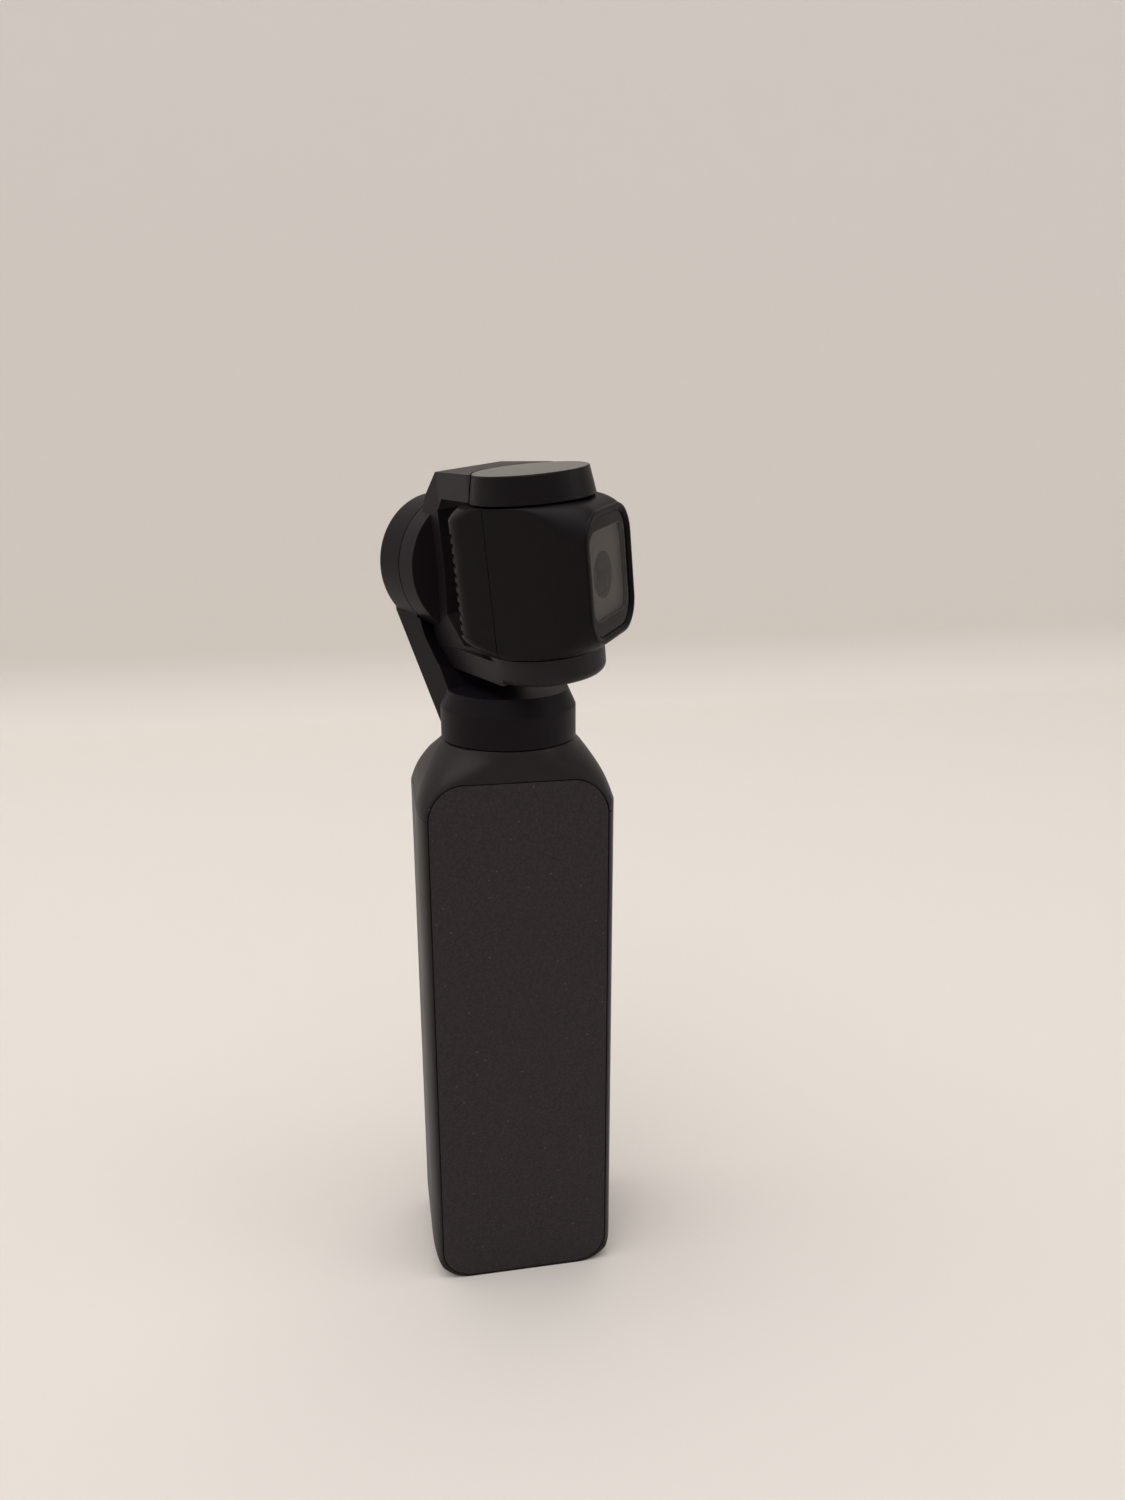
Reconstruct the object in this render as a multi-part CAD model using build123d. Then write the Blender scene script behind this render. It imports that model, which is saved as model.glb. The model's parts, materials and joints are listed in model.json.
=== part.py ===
"""Pocket gimbal camera: a slim hand grip whose neck carries a three-motor gimbal and a small camera.

Millimetres. The origin is the centre of the grip's base, +Z runs up the grip, +X to the side,
and the screen looks along +Y. The gimbal is drawn with its forward direction along +X and its
tilt axis upright, about the point where the roll axis crosses the pan axis, and is then turned
into the loosely folded pose in which it rests.
"""
from math import acos, atan2, cos, pi, radians, sin, sqrt
import os

from build123d import *

# Grip, outside
GRIP_WIDTH = 28.6
GRIP_DEPTH = 21.0
GRIP_EDGE_DEPTH = 5.0
BASE_CORNER_R = 6.0
SHOULDER_Z = 77.6
SHOULDER_TOP_HALF = 9.35
SHOULDER_WIDTH_POWER = 1.3
SHOULDER_DEPTH_POWER = 1.2
CORNER_WIDTH_POWER = 1.4
CORNER_DEPTH_POWER = 1.6
SHOULDER_LEVELS = 5
NECK_SEAM_Z = 85.9
SEAM_GAP = 0.2
SHOULDER_TOP_Z = NECK_SEAM_Z - SEAM_GAP

# Panels let into the two wide faces
PANEL_WIDTH = 25.6
PANEL_TOP_Z = 81.3
PANEL_BOTTOM_Z = 0.35
PANEL_TOP_CORNER_R = 5.25
PANEL_THICKNESS = 1.2
PANEL_GAP = 0.15
EDGE_WIDTH = (GRIP_WIDTH - PANEL_WIDTH) / 2

# Where the shoulder cap meets the frame
CAP_SEAM_Z = 76.4
CAP_SEAM_TOP_Z = 78.4
CAP_GAP = 0.1

# Space inside the frame
FRAME_SIDE_WALL = 3.0
FRAME_BASE_WALL = 3.0
CROSSBAR_Z = 73.6
CABLE_HOLE_R = 5.5
FIT_GAP = 0.1
FUSE = 0.2

# Screen and its glass
SCREEN_SIZE = 21.4
SCREEN_CORNER_R = 2.4
SCREEN_Z = 64.6
GLASS_THICKNESS = 0.9
GLASS_RECESS = 0.15
DISPLAY_THICKNESS = 2.0
DISPLAY_BORDER = 0.9
DISPLAY_CORNER_R = 0.6

# Accessory port and its cover
PORT_WIDTH = 14.6
PORT_LENGTH = 21.0
PORT_CORNER_R = 1.4
PORT_Z = 40.5
PORT_DEPTH = 2.3
PORT_WALL = 1.2
COVER_THICKNESS = 1.1
COVER_TRAVEL = 2.4
COVER_GAP = 0.12
COVER_TONGUE = 0.6
COVER_GRIPS = 5
COVER_GRIP_PITCH = 1.1
COVER_GRIP_WIDTH = 0.5
COVER_GRIP_DEPTH = 0.3
COVER_GRIP_START = 2.2
CONTACT_COUNT = 8
CONTACT_PITCH = 1.2
CONTACT_WIDTH = 0.7
CONTACT_HEIGHT = 2.0
CONTACT_PROUD = 0.4
INSERT_WIDTH = CONTACT_PITCH * CONTACT_COUNT + 1.4
INSERT_HEIGHT = 3.4
INSERT_CORNER_R = 0.6
INSERT_TAIL = 0.6

# Buttons
SHUTTER_R = 4.4
SHUTTER_Z = 20.6
FUNCTION_R = 3.2
FUNCTION_Z = 9.6
BUTTON_GAP = 0.12
BUTTON_PROUD = 0.35
BUTTON_TRAVEL = 0.4
BUTTON_CAP = 1.7
BUTTON_FLANGE = 0.7
BUTTON_EDGE_R = 0.3
SWITCH_CLEARANCE = 0.1
KEY_BOARD_WIDTH = 22.0
KEY_BOARD_Z = FRAME_BASE_WALL + 0.4
KEY_BOARD_TOP_Z = 28.4
SWITCH_R = 1.6
SWITCH_HEIGHT = 1.2
STATUS_R = 0.7
STATUS_Z = 27.2
MIC_HOLE_R = 0.5
MIC_Z = 3.6
MIC_LENGTH = 3.2
MIC_WIDTH = 2.3
MIC_HEIGHT = 1.0
MIC_OFFSET = 0.95

# Boards and battery
BOARD = 0.8
BATTERY_THICKNESS = 8.5
BATTERY_WIDTH = 20.6
BATTERY_Z = 13.4
BATTERY_TOP_Z = 72.6
BATTERY_CORNER_R = 2.4
BATTERY_EDGE_R = 1.5
BATTERY_LENGTH = BATTERY_TOP_Z - BATTERY_Z
BATTERY_MID_Z = (BATTERY_TOP_Z + BATTERY_Z) / 2
CHASSIS_THICKNESS = 0.8
BOARD_WIDTH = 21.6
BOARD_INSET = 0.6
SHIELD_CANS = [(-3.6, 36, 12, 16, 1.5), (-4.3, 55, 10.6, 14, 1.5), (0, 20.3, 19.2, 8.6, 1.2)]
STANDOFF_R = 1.3
STANDOFF_HEIGHT = 0.8
STANDOFF_X = 8.6
STANDOFF_INSET = 3.4
USB_WIDTH = 8.94
USB_HEIGHT = 3.26
USB_LENGTH = 7.4
USB_RECESS = 0.5
USB_SHELL = 0.3
USB_FLAT = 0.05
USB_BACK = 1.0
USB_TONGUE = 0.7
USB_TONGUE_WIDTH = 6.69
CARD_LENGTH = 11.4
CARD_SLOT = 1.2
CARD_HEIGHT = 0.9
CARD_WALL = 0.8
CARD_DEPTH = 9.1
CARD_Z = 55.0
CARD_SOCKET = 14.6

# Screws
SCREW_R = 0.7
SCREW_HEAD_R = 1.35
SCREW_HEAD = 0.7
SCREW_EDGE_R = 0.3
SCREW_TIP_GAP = 0.2

# Neck ring and pan motor
NECK_R = 9.87
NECK_FLAT = 0.1
NECK_BAND = 4.5
NECK_HEIGHT = 7.0
NECK_TOP_R = 8.75
NECK_ROOF = 1.9
SHAFT_COVER = 0.6
MOTOR_WALL = 1.15
SHAFT_R = 1.47
BEARING_BORE_R = 1.5
BEARING_R = 2.5
BEARING_WIDTH = 1.5
BEARING_TUBE_WALL = 0.7
MOTOR_FLANGE_R = 8.5
MOTOR_FLANGE = 1.2
STATOR_HEIGHT = 3.4
STATOR_TEETH = 9
MAGNET_GAP = 0.25
MAGNET = 0.9
SEAT = 0.3
CLIP = 0.4
TOOTH_FILL = 0.95
BELL_THICKNESS = 0.7
ROLL_STATOR_HEIGHT = 2.9
TILT_STATOR_HEIGHT = 1.2
TILT_MAGNET = 0.6
TILT_BELL = 0.25
PAN_MAGNET_HEIGHT = 4.0

# Gimbal geometry, about the point where the roll and pan axes cross
ROLL_AXIS_Z = 109.8
ROLL_SEAM = 11.9
HOUSING_BACK = 18.6
HOUSING_SEAM_R = 10.3
HOUSING_BACK_R = 10.05
HOUSING_EDGE_R = 1.3
HOUSING_WALL = 1.2
ARM_WIDTH = 15.0
ARM_BACK_TOP = -7.0
ARM_FOOT = 6.3
ARM_ROOT = 2.0
ARM_TOE = 4.4
ARM_LEAN = 0.68
ARM_RISE = 9.0
SWEEP_GAP = 0.35
BOSS_FRONT = 9.07
BOSS_FRONT_R = 9.9
STRAP_THICKNESS = 2.0
STRAP_WIDTH = 11.4
STRAP_CORNER = 1.6
LEG_CORNER = 4.0
LEG_WIDTH = 13.2
ARM_REACH = 7.0
BOSS_ROOT = 0.9
BOSS_FLOOR = 0.8
BRIDGE_WIDTH = 8.8
BRIDGE_THICKNESS = 0.8
STRAP_SLANT = 3.4
TILT_OFFSET = 7.8
TILT_TOP = 14.1
TILT_UNDER = 10.44
TILT_TOP_R = 7.85
TILT_UNDER_R = 8.5
TILT_SEAM_GAP = 0.12
TILT_WALL = 0.9
TILT_ROOF = 0.75
TILT_EDGE_R = 0.25
TILT_ROOF_GAP = 0.15
IDLER_TOP = 10.05
IDLER_BOTTOM = 13.84
IDLER_R = 8.07
IDLER_EDGE_R = 1.3
SMALL_BEARING_R = 2.3
SMALL_BORE_R = 1.25
SMALL_SHAFT_R = 1.22
SMALL_BEARING_WIDTH = 1.0

# Camera, about its tilt axis
CAMERA_GAP = 0.3
CAMERA_WIDTH = 17.2
CAMERA_REAR = 9.6
CAMERA_EDGE_R = 3.0
CAMERA_BREAK_R = 0.12
CROWN_HEIGHT = 1.5
CROWN_REAR = 8.8
CROWN_R = 5.0
FOOT_HEIGHT = 2.7
CROWN_LEVELS = 3
CROWN_CURVE = 1.4
BOARD_CORNER_R = 1.5
CAMERA_SCREW_LENGTH = 1.6
CAMERA_SCREW_OFFSET = 8.1
CAMERA_SEAM_X = -3.2
CAMERA_WALL = 1.4
NOSE_START = 5.0
NOSE_LEVELS = 3
NOSE_DROP = 4
NOSE_FRONT = 10.25
LENS_FRAME_WIDTH = 15.4
LENS_FRAME_HEIGHT = 17.5
LENS_FRAME_R = 4.4
LENS_FRAME_PROUD = 0.35
LENS_LIP = 0.4
LENS_RIM = 0.55
LENS_RIM_SLOPE = 0.45
LENS_RIM_DEPTH = 1.05
LENS_FLOOR = 0.8
LENS_EDGE_R = 0.25
WINDOW_WIDTH = 11.8
WINDOW_HEIGHT = 13.2
WINDOW_DROP = 0.45
WINDOW_R = 2.2
WINDOW_GLASS = 0.6
WINDOW_RECESS = 0.1
BARREL_R = 3.1
BARREL_FRONT = 8.6
BARREL_FLANGE_R = 5.4
BARREL_FLANGE = 1.2
BARREL_WALL = 0.7
BARREL_LIP = 1.2
BARREL_EDGE_R = 0.3
APERTURE_R = 1.6
FRONT_LENS = 0.55
REAR_LENS_X = 4.0
REAR_LENS = 2.0
MASK_BACK = 7.2
MASK_FLOOR = 0.6
WELL_GAP = 0.1
SENSOR_X = 0.6
SENSOR_WIDTH = 3.6
SENSOR_HEIGHT = 2.8
SENSOR_THICKNESS = 0.6
HEATSINK_SIDE_GAP = 1.4
HEATSINK_HEIGHT = 12.0
HEATSINK_SLOTS = 6
HEATSINK_PITCH = 2.0
HEATSINK_SLOT = 1.0
HEATSINK_BASE = 2.6
VENT_COUNT = 11
VENT_PITCH = 1.3
VENT_HEIGHT = 0.6
VENT_DEPTH = 1.2

# Pose at rest, degrees
PAN_REST = -61.3
ROLL_REST = 6.3
TILT_REST = 26.5

FACE_Y = GRIP_DEPTH / 2
PAN_POSE = Pos(0, 0, ROLL_AXIS_Z) * Rot(0, 0, PAN_REST)
ROLL_POSE = PAN_POSE * Rot(ROLL_REST, 0, 0)
TILT_POSE = ROLL_POSE * Pos(TILT_OFFSET, 0, 0) * Rot(0, 0, TILT_REST)

parts = {}


def disc(radius, low, high, hole=0.0):
    """A round plate or tube about Z between two heights."""
    solid = Pos(0, 0, low) * extrude(Circle(radius), high - low)
    if hole:
        solid -= Pos(0, 0, low - 1) * extrude(Circle(hole), high - low + 2)
    return solid


def cone(low_radius, high_radius, low, high):
    """A tapered round solid about Z between two heights."""
    standing = (Align.CENTER, Align.CENTER, Align.MIN)
    return Pos(0, 0, low) * Cone(low_radius, high_radius, high - low, align=standing)


def block(x, y, z):
    """A box from three (low, high) pairs."""
    spans = [pair[1] - pair[0] for pair in (x, y, z)]
    return Pos(x[0], y[0], z[0]) * Box(*spans, align=(Align.MIN, Align.MIN, Align.MIN))


def along_x(solid):
    """Turn a solid built about Z so that its axis lies along X, its top forward."""
    return Rot(0, 90, 0) * solid


def xz_plate(outline, y_low, y_high):
    """Extrude an outline drawn in X and Z between two depths."""
    face = Plane.XZ * outline
    return extrude(Pos(0, y_high, 0) * face, y_high - y_low)


def yz_plate(outline, x_low, x_high):
    """Extrude an outline drawn in Y and Z between two places along X."""
    return extrude(Pos(x_low, 0, 0) * (Plane.YZ * outline), x_high - x_low)


def rounded(width, height, radius, x=0.0, y=0.0):
    return Pos(x, y) * RectangleRounded(width, height, radius)


# Grip blank: the outside of frame, shoulder cap and panels together
def grip_section(half_width, half_depth, corner_width, corner_depth, z):
    """Flat front and back between sides that bulge on a quarter ellipse at each corner."""
    x, y = half_width - corner_width, half_depth - corner_depth
    edges = [
        EllipticalCenterArc((x, y), corner_width, corner_depth, 0, arc_size=90),
        Line((x, half_depth), (-x, half_depth)),
        EllipticalCenterArc((-x, y), corner_width, corner_depth, 90, arc_size=90),
        Line((-half_width, y), (-half_width, -y)),
        EllipticalCenterArc((-x, -y), corner_width, corner_depth, 180, arc_size=90),
        Line((-x, -half_depth), (x, -half_depth)),
        EllipticalCenterArc((x, -y), corner_width, corner_depth, 270, arc_size=90),
        Line((half_width, -y), (half_width, y)),
    ]
    return Pos(0, 0, z) * make_face(edges)


def shoulder_section(share):
    """One level of the shoulder, which draws in from the grip's section to the round neck."""
    width_in = 1 - (1 - share**SHOULDER_WIDTH_POWER) ** (1 / SHOULDER_WIDTH_POWER)
    depth_in = 1 - (1 - share**SHOULDER_DEPTH_POWER) ** (1 / SHOULDER_DEPTH_POWER)
    half_width = GRIP_WIDTH / 2 + (SHOULDER_TOP_HALF - GRIP_WIDTH / 2) * width_in
    half_depth = FACE_Y + (NECK_R - FACE_Y) * depth_in
    width_end = SHOULDER_TOP_HALF - NECK_FLAT
    depth_end = NECK_R - NECK_FLAT
    corner_width = EDGE_WIDTH + (width_end - EDGE_WIDTH) * share**CORNER_WIDTH_POWER
    corner_depth = GRIP_EDGE_DEPTH + (depth_end - GRIP_EDGE_DEPTH) * share**CORNER_DEPTH_POWER
    z = SHOULDER_Z + (SHOULDER_TOP_Z - SHOULDER_Z) * share
    return grip_section(half_width, half_depth, corner_width, corner_depth, z)


def make_blank():
    column = extrude(grip_section(GRIP_WIDTH / 2, FACE_Y, EDGE_WIDTH, GRIP_EDGE_DEPTH, 0), SHOULDER_Z)
    levels = [level / SHOULDER_LEVELS for level in range(SHOULDER_LEVELS + 1)]
    shoulder = loft([shoulder_section(sin(level * pi / 2)) for level in levels])
    height = 2 * SHOULDER_TOP_Z
    silhouette = rounded(GRIP_WIDTH, height, BASE_CORNER_R, 0, height / 2)
    return (column + shoulder) & xz_plate(silhouette, -GRIP_DEPTH, GRIP_DEPTH)


def panel_outline(grow=0.0):
    """Panel outline in X and Z: rounder at the top, following the grip's corners at the base."""
    half = PANEL_WIDTH / 2 + grow
    top = PANEL_TOP_Z + grow
    bottom = PANEL_BOTTOM_Z - grow
    base_r = BASE_CORNER_R - (GRIP_WIDTH - PANEL_WIDTH) / 2 + grow
    top_r = PANEL_TOP_CORNER_R + grow
    corners = [(-half, bottom), (half, bottom), (half, top), (-half, top)]
    face = make_face(Polyline(*corners, close=True))
    low = face.vertices().filter_by(lambda v: v.Y < PANEL_TOP_Z / 2)
    face = fillet(low, base_r)
    high = face.vertices().filter_by(lambda v: v.Y > PANEL_TOP_Z - 1)
    return fillet(high, top_r)


BLANK = make_blank()


def make_cap_region(gap):
    """Everything above the seam, which arches a little from the front to the back of each side."""
    rise = CAP_SEAM_TOP_Z - CAP_SEAM_Z
    arch_r = (FACE_Y**2 + rise**2) / (2 * rise)
    low, high = CAP_SEAM_Z - gap, NECK_SEAM_Z + NECK_BAND
    region = block((-GRIP_WIDTH, GRIP_WIDTH), (-GRIP_DEPTH, GRIP_DEPTH), (low, high))
    arch = along_x(disc(arch_r - gap, -GRIP_WIDTH, GRIP_WIDTH))
    return region - Pos(0, 0, CAP_SEAM_TOP_Z - arch_r) * arch


def make_panel_pocket(side):
    """The recess that a panel drops into; side is -1 at the back and 1 at the front."""
    deep = side * (FACE_Y - PANEL_THICKNESS)
    outer = side * (FACE_Y + 1)
    return xz_plate(panel_outline(PANEL_GAP), min(deep, outer), max(deep, outer))


INNER_X = GRIP_WIDTH / 2 - FRAME_SIDE_WALL
INNER_Y = FACE_Y - PANEL_THICKNESS


def make_frame():
    """Frame: two narrow sides, base and crossbar in one moulding, open at both wide faces."""
    frame = BLANK - make_cap_region(CAP_GAP)
    for side in (-1, 1):
        frame -= make_panel_pocket(side)
    frame -= block((-INNER_X, INNER_X), (-FACE_Y, FACE_Y), (FRAME_BASE_WALL, CROSSBAR_Z))
    frame -= disc(CABLE_HOLE_R, CROSSBAR_Z - 1, NECK_SEAM_Z)
    display_half = SCREEN_SIZE / 2 - DISPLAY_BORDER + FIT_GAP
    display_y = (DISPLAY_BACK_Y - FIT_GAP, FACE_Y)
    frame -= block((-display_half, display_half), display_y, (CROSSBAR_Z - 1, SCREEN_Z + display_half))
    usb = rounded(USB_WIDTH + 2 * FIT_GAP, USB_HEIGHT + 2 * FIT_GAP, USB_HEIGHT / 2)
    frame -= Pos(0, 0, -1) * extrude(usb, FRAME_BASE_WALL + 2)
    frame -= Pos(MIC_BASE_X, 0, -1) * extrude(Circle(MIC_HOLE_R), FRAME_BASE_WALL + 2)
    slot_y = (CARD_Y - CARD_SLOT / 2, CARD_Y + CARD_SLOT / 2)
    slot_z = (CARD_Z - CARD_LENGTH / 2, CARD_Z + CARD_LENGTH / 2)
    frame -= block((INNER_X - 1, GRIP_WIDTH), slot_y, slot_z)
    for x, y in CAP_SCREWS:
        frame -= Pos(x, y) * disc(SCREW_R + FIT_GAP, CROSSBAR_Z - 1, NECK_SEAM_Z)
    return frame


def make_shoulder_cap():
    """Cap over the top of the grip; a round pocket in its roof seats the pan motor's flange."""
    cap = BLANK & make_cap_region(0.0)
    for side in (-1, 1):
        cap -= make_panel_pocket(side)
    cap -= disc(MOTOR_FLANGE_R + FIT_GAP, FLANGE_Z, NECK_SEAM_Z + 1)
    cap -= disc(CABLE_HOLE_R, CAP_SEAM_Z, NECK_SEAM_Z + 1)
    for x, y in CAP_SCREWS:
        cap -= Pos(x, y) * disc(SCREW_R, CAP_SEAM_TOP_Z - 1, CAP_SEAM_TOP_Z + SCREW_REACH)
    for angle in FLANGE_SCREW_ANGLES:
        x, y = FLANGE_SCREW_R * cos(radians(angle)), FLANGE_SCREW_R * sin(radians(angle))
        cap -= Pos(x, y) * disc(SCREW_R, FLANGE_Z - SCREW_REACH, FLANGE_Z + 1)
    return cap


# Places worked out from the sizes above
FLANGE_Z = NECK_SEAM_Z - SEAM_GAP - SEAM_GAP - MOTOR_FLANGE
CAP_SCREWS = [(-9.6, -4.4), (9.6, -4.4), (-9.6, 4.4), (9.6, 4.4)]
SCREW_REACH = 2.0
FLANGE_SCREW_R = 6.9
FLANGE_SCREW_ANGLES = (30, 150, 270)
BATTERY_BACK_Y = -INNER_Y + FIT_GAP
BATTERY_FRONT_Y = BATTERY_BACK_Y + BATTERY_THICKNESS
CHASSIS_Y = BATTERY_FRONT_Y + FIT_GAP
BOARD_Y = CHASSIS_Y + CHASSIS_THICKNESS + STANDOFF_HEIGHT
BOARD_FRONT_Y = BOARD_Y + BOARD
CARD_Y = BOARD_FRONT_Y + CARD_HEIGHT
MIC_BASE_X = 7.6
USB_BOARD_Y = -USB_HEIGHT / 2 - BOARD
GLASS_FRONT_Y = FACE_Y - GLASS_RECESS
GLASS_BACK_Y = GLASS_FRONT_Y - GLASS_THICKNESS
DISPLAY_BACK_Y = GLASS_BACK_Y - DISPLAY_THICKNESS
BUTTON_BACK_Y = FACE_Y + BUTTON_PROUD - BUTTON_CAP - BUTTON_FLANGE
SWITCH_TOP_Y = BUTTON_BACK_Y - BUTTON_TRAVEL - SWITCH_CLEARANCE
BUTTON_BOARD_Y = SWITCH_TOP_Y - SWITCH_HEIGHT - BOARD
POST_XS = (-9.6, 9.6)
POST_ZS = (6.0, 25.4)
POST_R = 1.5
PORT_FLOOR_Y = FACE_Y - PORT_DEPTH
PORT_TOP_Z = PORT_Z + PORT_LENGTH / 2
PORT_BOTTOM_Z = PORT_Z - PORT_LENGTH / 2
COVER_Y = FACE_Y - COVER_THICKNESS


def make_back_panel():
    """Plain flat panel with a fine grained rubber-like skin on its outside."""
    plate = xz_plate(panel_outline(), -FACE_Y - 1, -FACE_Y + PANEL_THICKNESS)
    return plate & BLANK


def make_front_panel():
    """Front panel: screen window, port recess, button holes and the screw posts behind them."""
    plate = xz_plate(panel_outline(), FACE_Y - PANEL_THICKNESS, FACE_Y + 1) & BLANK
    window = rounded(SCREEN_SIZE, SCREEN_SIZE, SCREEN_CORNER_R, 0, SCREEN_Z)
    plate -= xz_plate(window, 0, FACE_Y + 1)
    wall = 2 * PORT_WALL
    tub = rounded(PORT_WIDTH + wall, PORT_LENGTH + wall, PORT_CORNER_R + PORT_WALL, 0, PORT_Z)
    plate += xz_plate(tub, PORT_FLOOR_Y - PORT_WALL, FACE_Y - PANEL_THICKNESS / 2)
    plate -= xz_plate(rounded(PORT_WIDTH, PORT_LENGTH, PORT_CORNER_R, 0, PORT_Z), PORT_FLOOR_Y, FACE_Y + 1)
    groove_half = PORT_WIDTH / 2 + COVER_TONGUE
    groove_y = (COVER_Y - COVER_GAP, COVER_Y + COVER_TONGUE + COVER_GAP)
    groove_z = (PORT_BOTTOM_Z + PORT_CORNER_R, PORT_TOP_Z - PORT_CORNER_R)
    plate -= block((-groove_half, groove_half), groove_y, groove_z)
    contacts = rounded(INSERT_WIDTH, INSERT_HEIGHT, INSERT_CORNER_R, 0, PORT_Z)
    plate -= xz_plate(contacts, PORT_FLOOR_Y - 2 * PORT_WALL, FACE_Y)
    for radius, z in ((SHUTTER_R, SHUTTER_Z), (FUNCTION_R, FUNCTION_Z)):
        plate -= xz_plate(Pos(0, z) * Circle(radius + BUTTON_GAP), 0, FACE_Y + 1)
    plate -= xz_plate(Pos(0, STATUS_Z) * Circle(STATUS_R), 0, FACE_Y + 1)
    plate -= xz_plate(Pos(0, MIC_Z) * Circle(MIC_HOLE_R), 0, FACE_Y + 1)
    for x in POST_XS:
        for z in POST_ZS:
            post = Circle(POST_R) - Circle(SCREW_R)
            plate += xz_plate(Pos(x, z) * post, BUTTON_BOARD_Y + BOARD, INNER_Y + FUSE)
    return plate


def make_button(radius, z):
    """Round key: a proud cap with a softened rim over a wider flange that keeps it in."""
    front = FACE_Y + BUTTON_PROUD
    cap = xz_plate(Pos(0, z) * Circle(radius), front - BUTTON_CAP, front)
    cap = fillet(cap.edges().group_by(Axis.Y)[-1], BUTTON_EDGE_R)
    flange = xz_plate(Pos(0, z) * Circle(radius + BUTTON_FLANGE), BUTTON_BACK_Y, front - BUTTON_CAP)
    return cap + flange


def make_port_cover():
    """Cover of the accessory port: side tongues run in grooves, and ribs give the thumb a hold."""
    width = PORT_WIDTH - 2 * COVER_GAP
    length = PORT_LENGTH - COVER_TRAVEL - 2 * COVER_GAP
    z = PORT_TOP_Z - COVER_GAP - length / 2
    plate = xz_plate(rounded(width, length, PORT_CORNER_R, 0, z), COVER_Y, FACE_Y)
    half = PORT_WIDTH / 2 + COVER_TONGUE - COVER_GAP
    tongue_low = PORT_BOTTOM_Z + PORT_CORNER_R + COVER_TRAVEL + COVER_GAP
    tongue_z = (tongue_low, PORT_TOP_Z - PORT_CORNER_R - COVER_GAP)
    plate += block((-half, half), (COVER_Y, COVER_Y + COVER_TONGUE), tongue_z)
    for index in range(COVER_GRIPS):
        groove_z = z - length / 2 + COVER_GRIP_START + COVER_GRIP_PITCH * index
        groove = Pos(0, groove_z) * Rectangle(2 * width / 3, COVER_GRIP_WIDTH)
        plate -= xz_plate(groove, FACE_Y - COVER_GRIP_DEPTH, FACE_Y + 1)
    return plate


def make_port_contacts():
    """Moulded insert with a row of sprung pads at the bottom of the port."""
    width, height = INSERT_WIDTH - 2 * FIT_GAP, INSERT_HEIGHT - 2 * FIT_GAP
    insert = rounded(width, height, INSERT_CORNER_R - FIT_GAP, 0, PORT_Z)
    body = xz_plate(insert, PORT_FLOOR_Y - PORT_WALL - INSERT_TAIL, PORT_FLOOR_Y)
    for index in range(CONTACT_COUNT):
        x = (index - (CONTACT_COUNT - 1) / 2) * CONTACT_PITCH
        pad = Pos(x, PORT_Z) * Rectangle(CONTACT_WIDTH, CONTACT_HEIGHT)
        body += xz_plate(pad, PORT_FLOOR_Y - FUSE, PORT_FLOOR_Y + CONTACT_PROUD)
    return body


def make_chassis():
    """Inner plate between battery and boards, slid between the frame's sides, with stand-offs."""
    plate = block((-INNER_X, INNER_X), (CHASSIS_Y, CHASSIS_Y + CHASSIS_THICKNESS), (BATTERY_Z, BATTERY_TOP_Z))
    for x in (-STANDOFF_X, STANDOFF_X):
        for z in (BATTERY_Z + STANDOFF_INSET, BATTERY_TOP_Z - STANDOFF_INSET):
            pad = Pos(x, z) * Circle(STANDOFF_R)
            plate += xz_plate(pad, CHASSIS_Y + CHASSIS_THICKNESS / 2, BOARD_Y)
    return plate


def make_battery():
    outline = rounded(BATTERY_WIDTH, BATTERY_LENGTH, BATTERY_CORNER_R, 0, BATTERY_MID_Z)
    cell = xz_plate(outline, BATTERY_BACK_Y, BATTERY_FRONT_Y)
    return fillet(cell.edges().group_by(Axis.Y)[0], BATTERY_EDGE_R)


def make_main_board():
    """Main board with the screening cans over its processor, radio and motor drivers."""
    outline = Pos(0, BATTERY_MID_Z) * Rectangle(BOARD_WIDTH, BATTERY_LENGTH - 2 * BOARD_INSET)
    board = xz_plate(outline, BOARD_Y, BOARD_FRONT_Y)
    for x, z, width, length, height in SHIELD_CANS:
        can = Pos(x, z) * Rectangle(width, length)
        board += xz_plate(can, BOARD_FRONT_Y - FUSE, BOARD_FRONT_Y + height)
    return board


def make_card_socket():
    """Memory card socket soldered beside the slot in the narrow side."""
    thickness = 2 * (CARD_Y - BOARD_FRONT_Y)
    x = (INNER_X - FIT_GAP - CARD_DEPTH, INNER_X - FIT_GAP)
    z = (CARD_Z - CARD_SOCKET / 2, CARD_Z + CARD_SOCKET / 2)
    body = block(x, (BOARD_FRONT_Y, BOARD_FRONT_Y + thickness), z)
    mouth_y = (CARD_Y - CARD_SLOT / 2, CARD_Y + CARD_SLOT / 2)
    mouth_z = (CARD_Z - CARD_LENGTH / 2, CARD_Z + CARD_LENGTH / 2)
    return body - block((x[0] + CARD_WALL, x[1] + 1), mouth_y, mouth_z)


def make_usb_socket():
    """Charging socket: an oval drawn shell with its contact tongue inside."""
    radius = USB_HEIGHT / 2 - USB_FLAT
    shell = extrude(RectangleRounded(USB_WIDTH, USB_HEIGHT, radius), USB_LENGTH)
    width, height = USB_WIDTH - 2 * USB_SHELL, USB_HEIGHT - 2 * USB_SHELL
    shell -= extrude(RectangleRounded(width, height, radius - USB_SHELL), USB_LENGTH - USB_BACK)
    tongue = Pos(0, 0, USB_BACK) * extrude(Rectangle(USB_TONGUE_WIDTH, USB_TONGUE), USB_LENGTH - USB_BACK)
    return Pos(0, 0, USB_RECESS) * (shell + tongue)


def make_usb_board():
    """Small board across the foot of the frame that carries the charging socket."""
    return block((-INNER_X, INNER_X), (USB_BOARD_Y, USB_BOARD_Y + BOARD), (FRAME_BASE_WALL, BATTERY_Z - 1.0))


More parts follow.
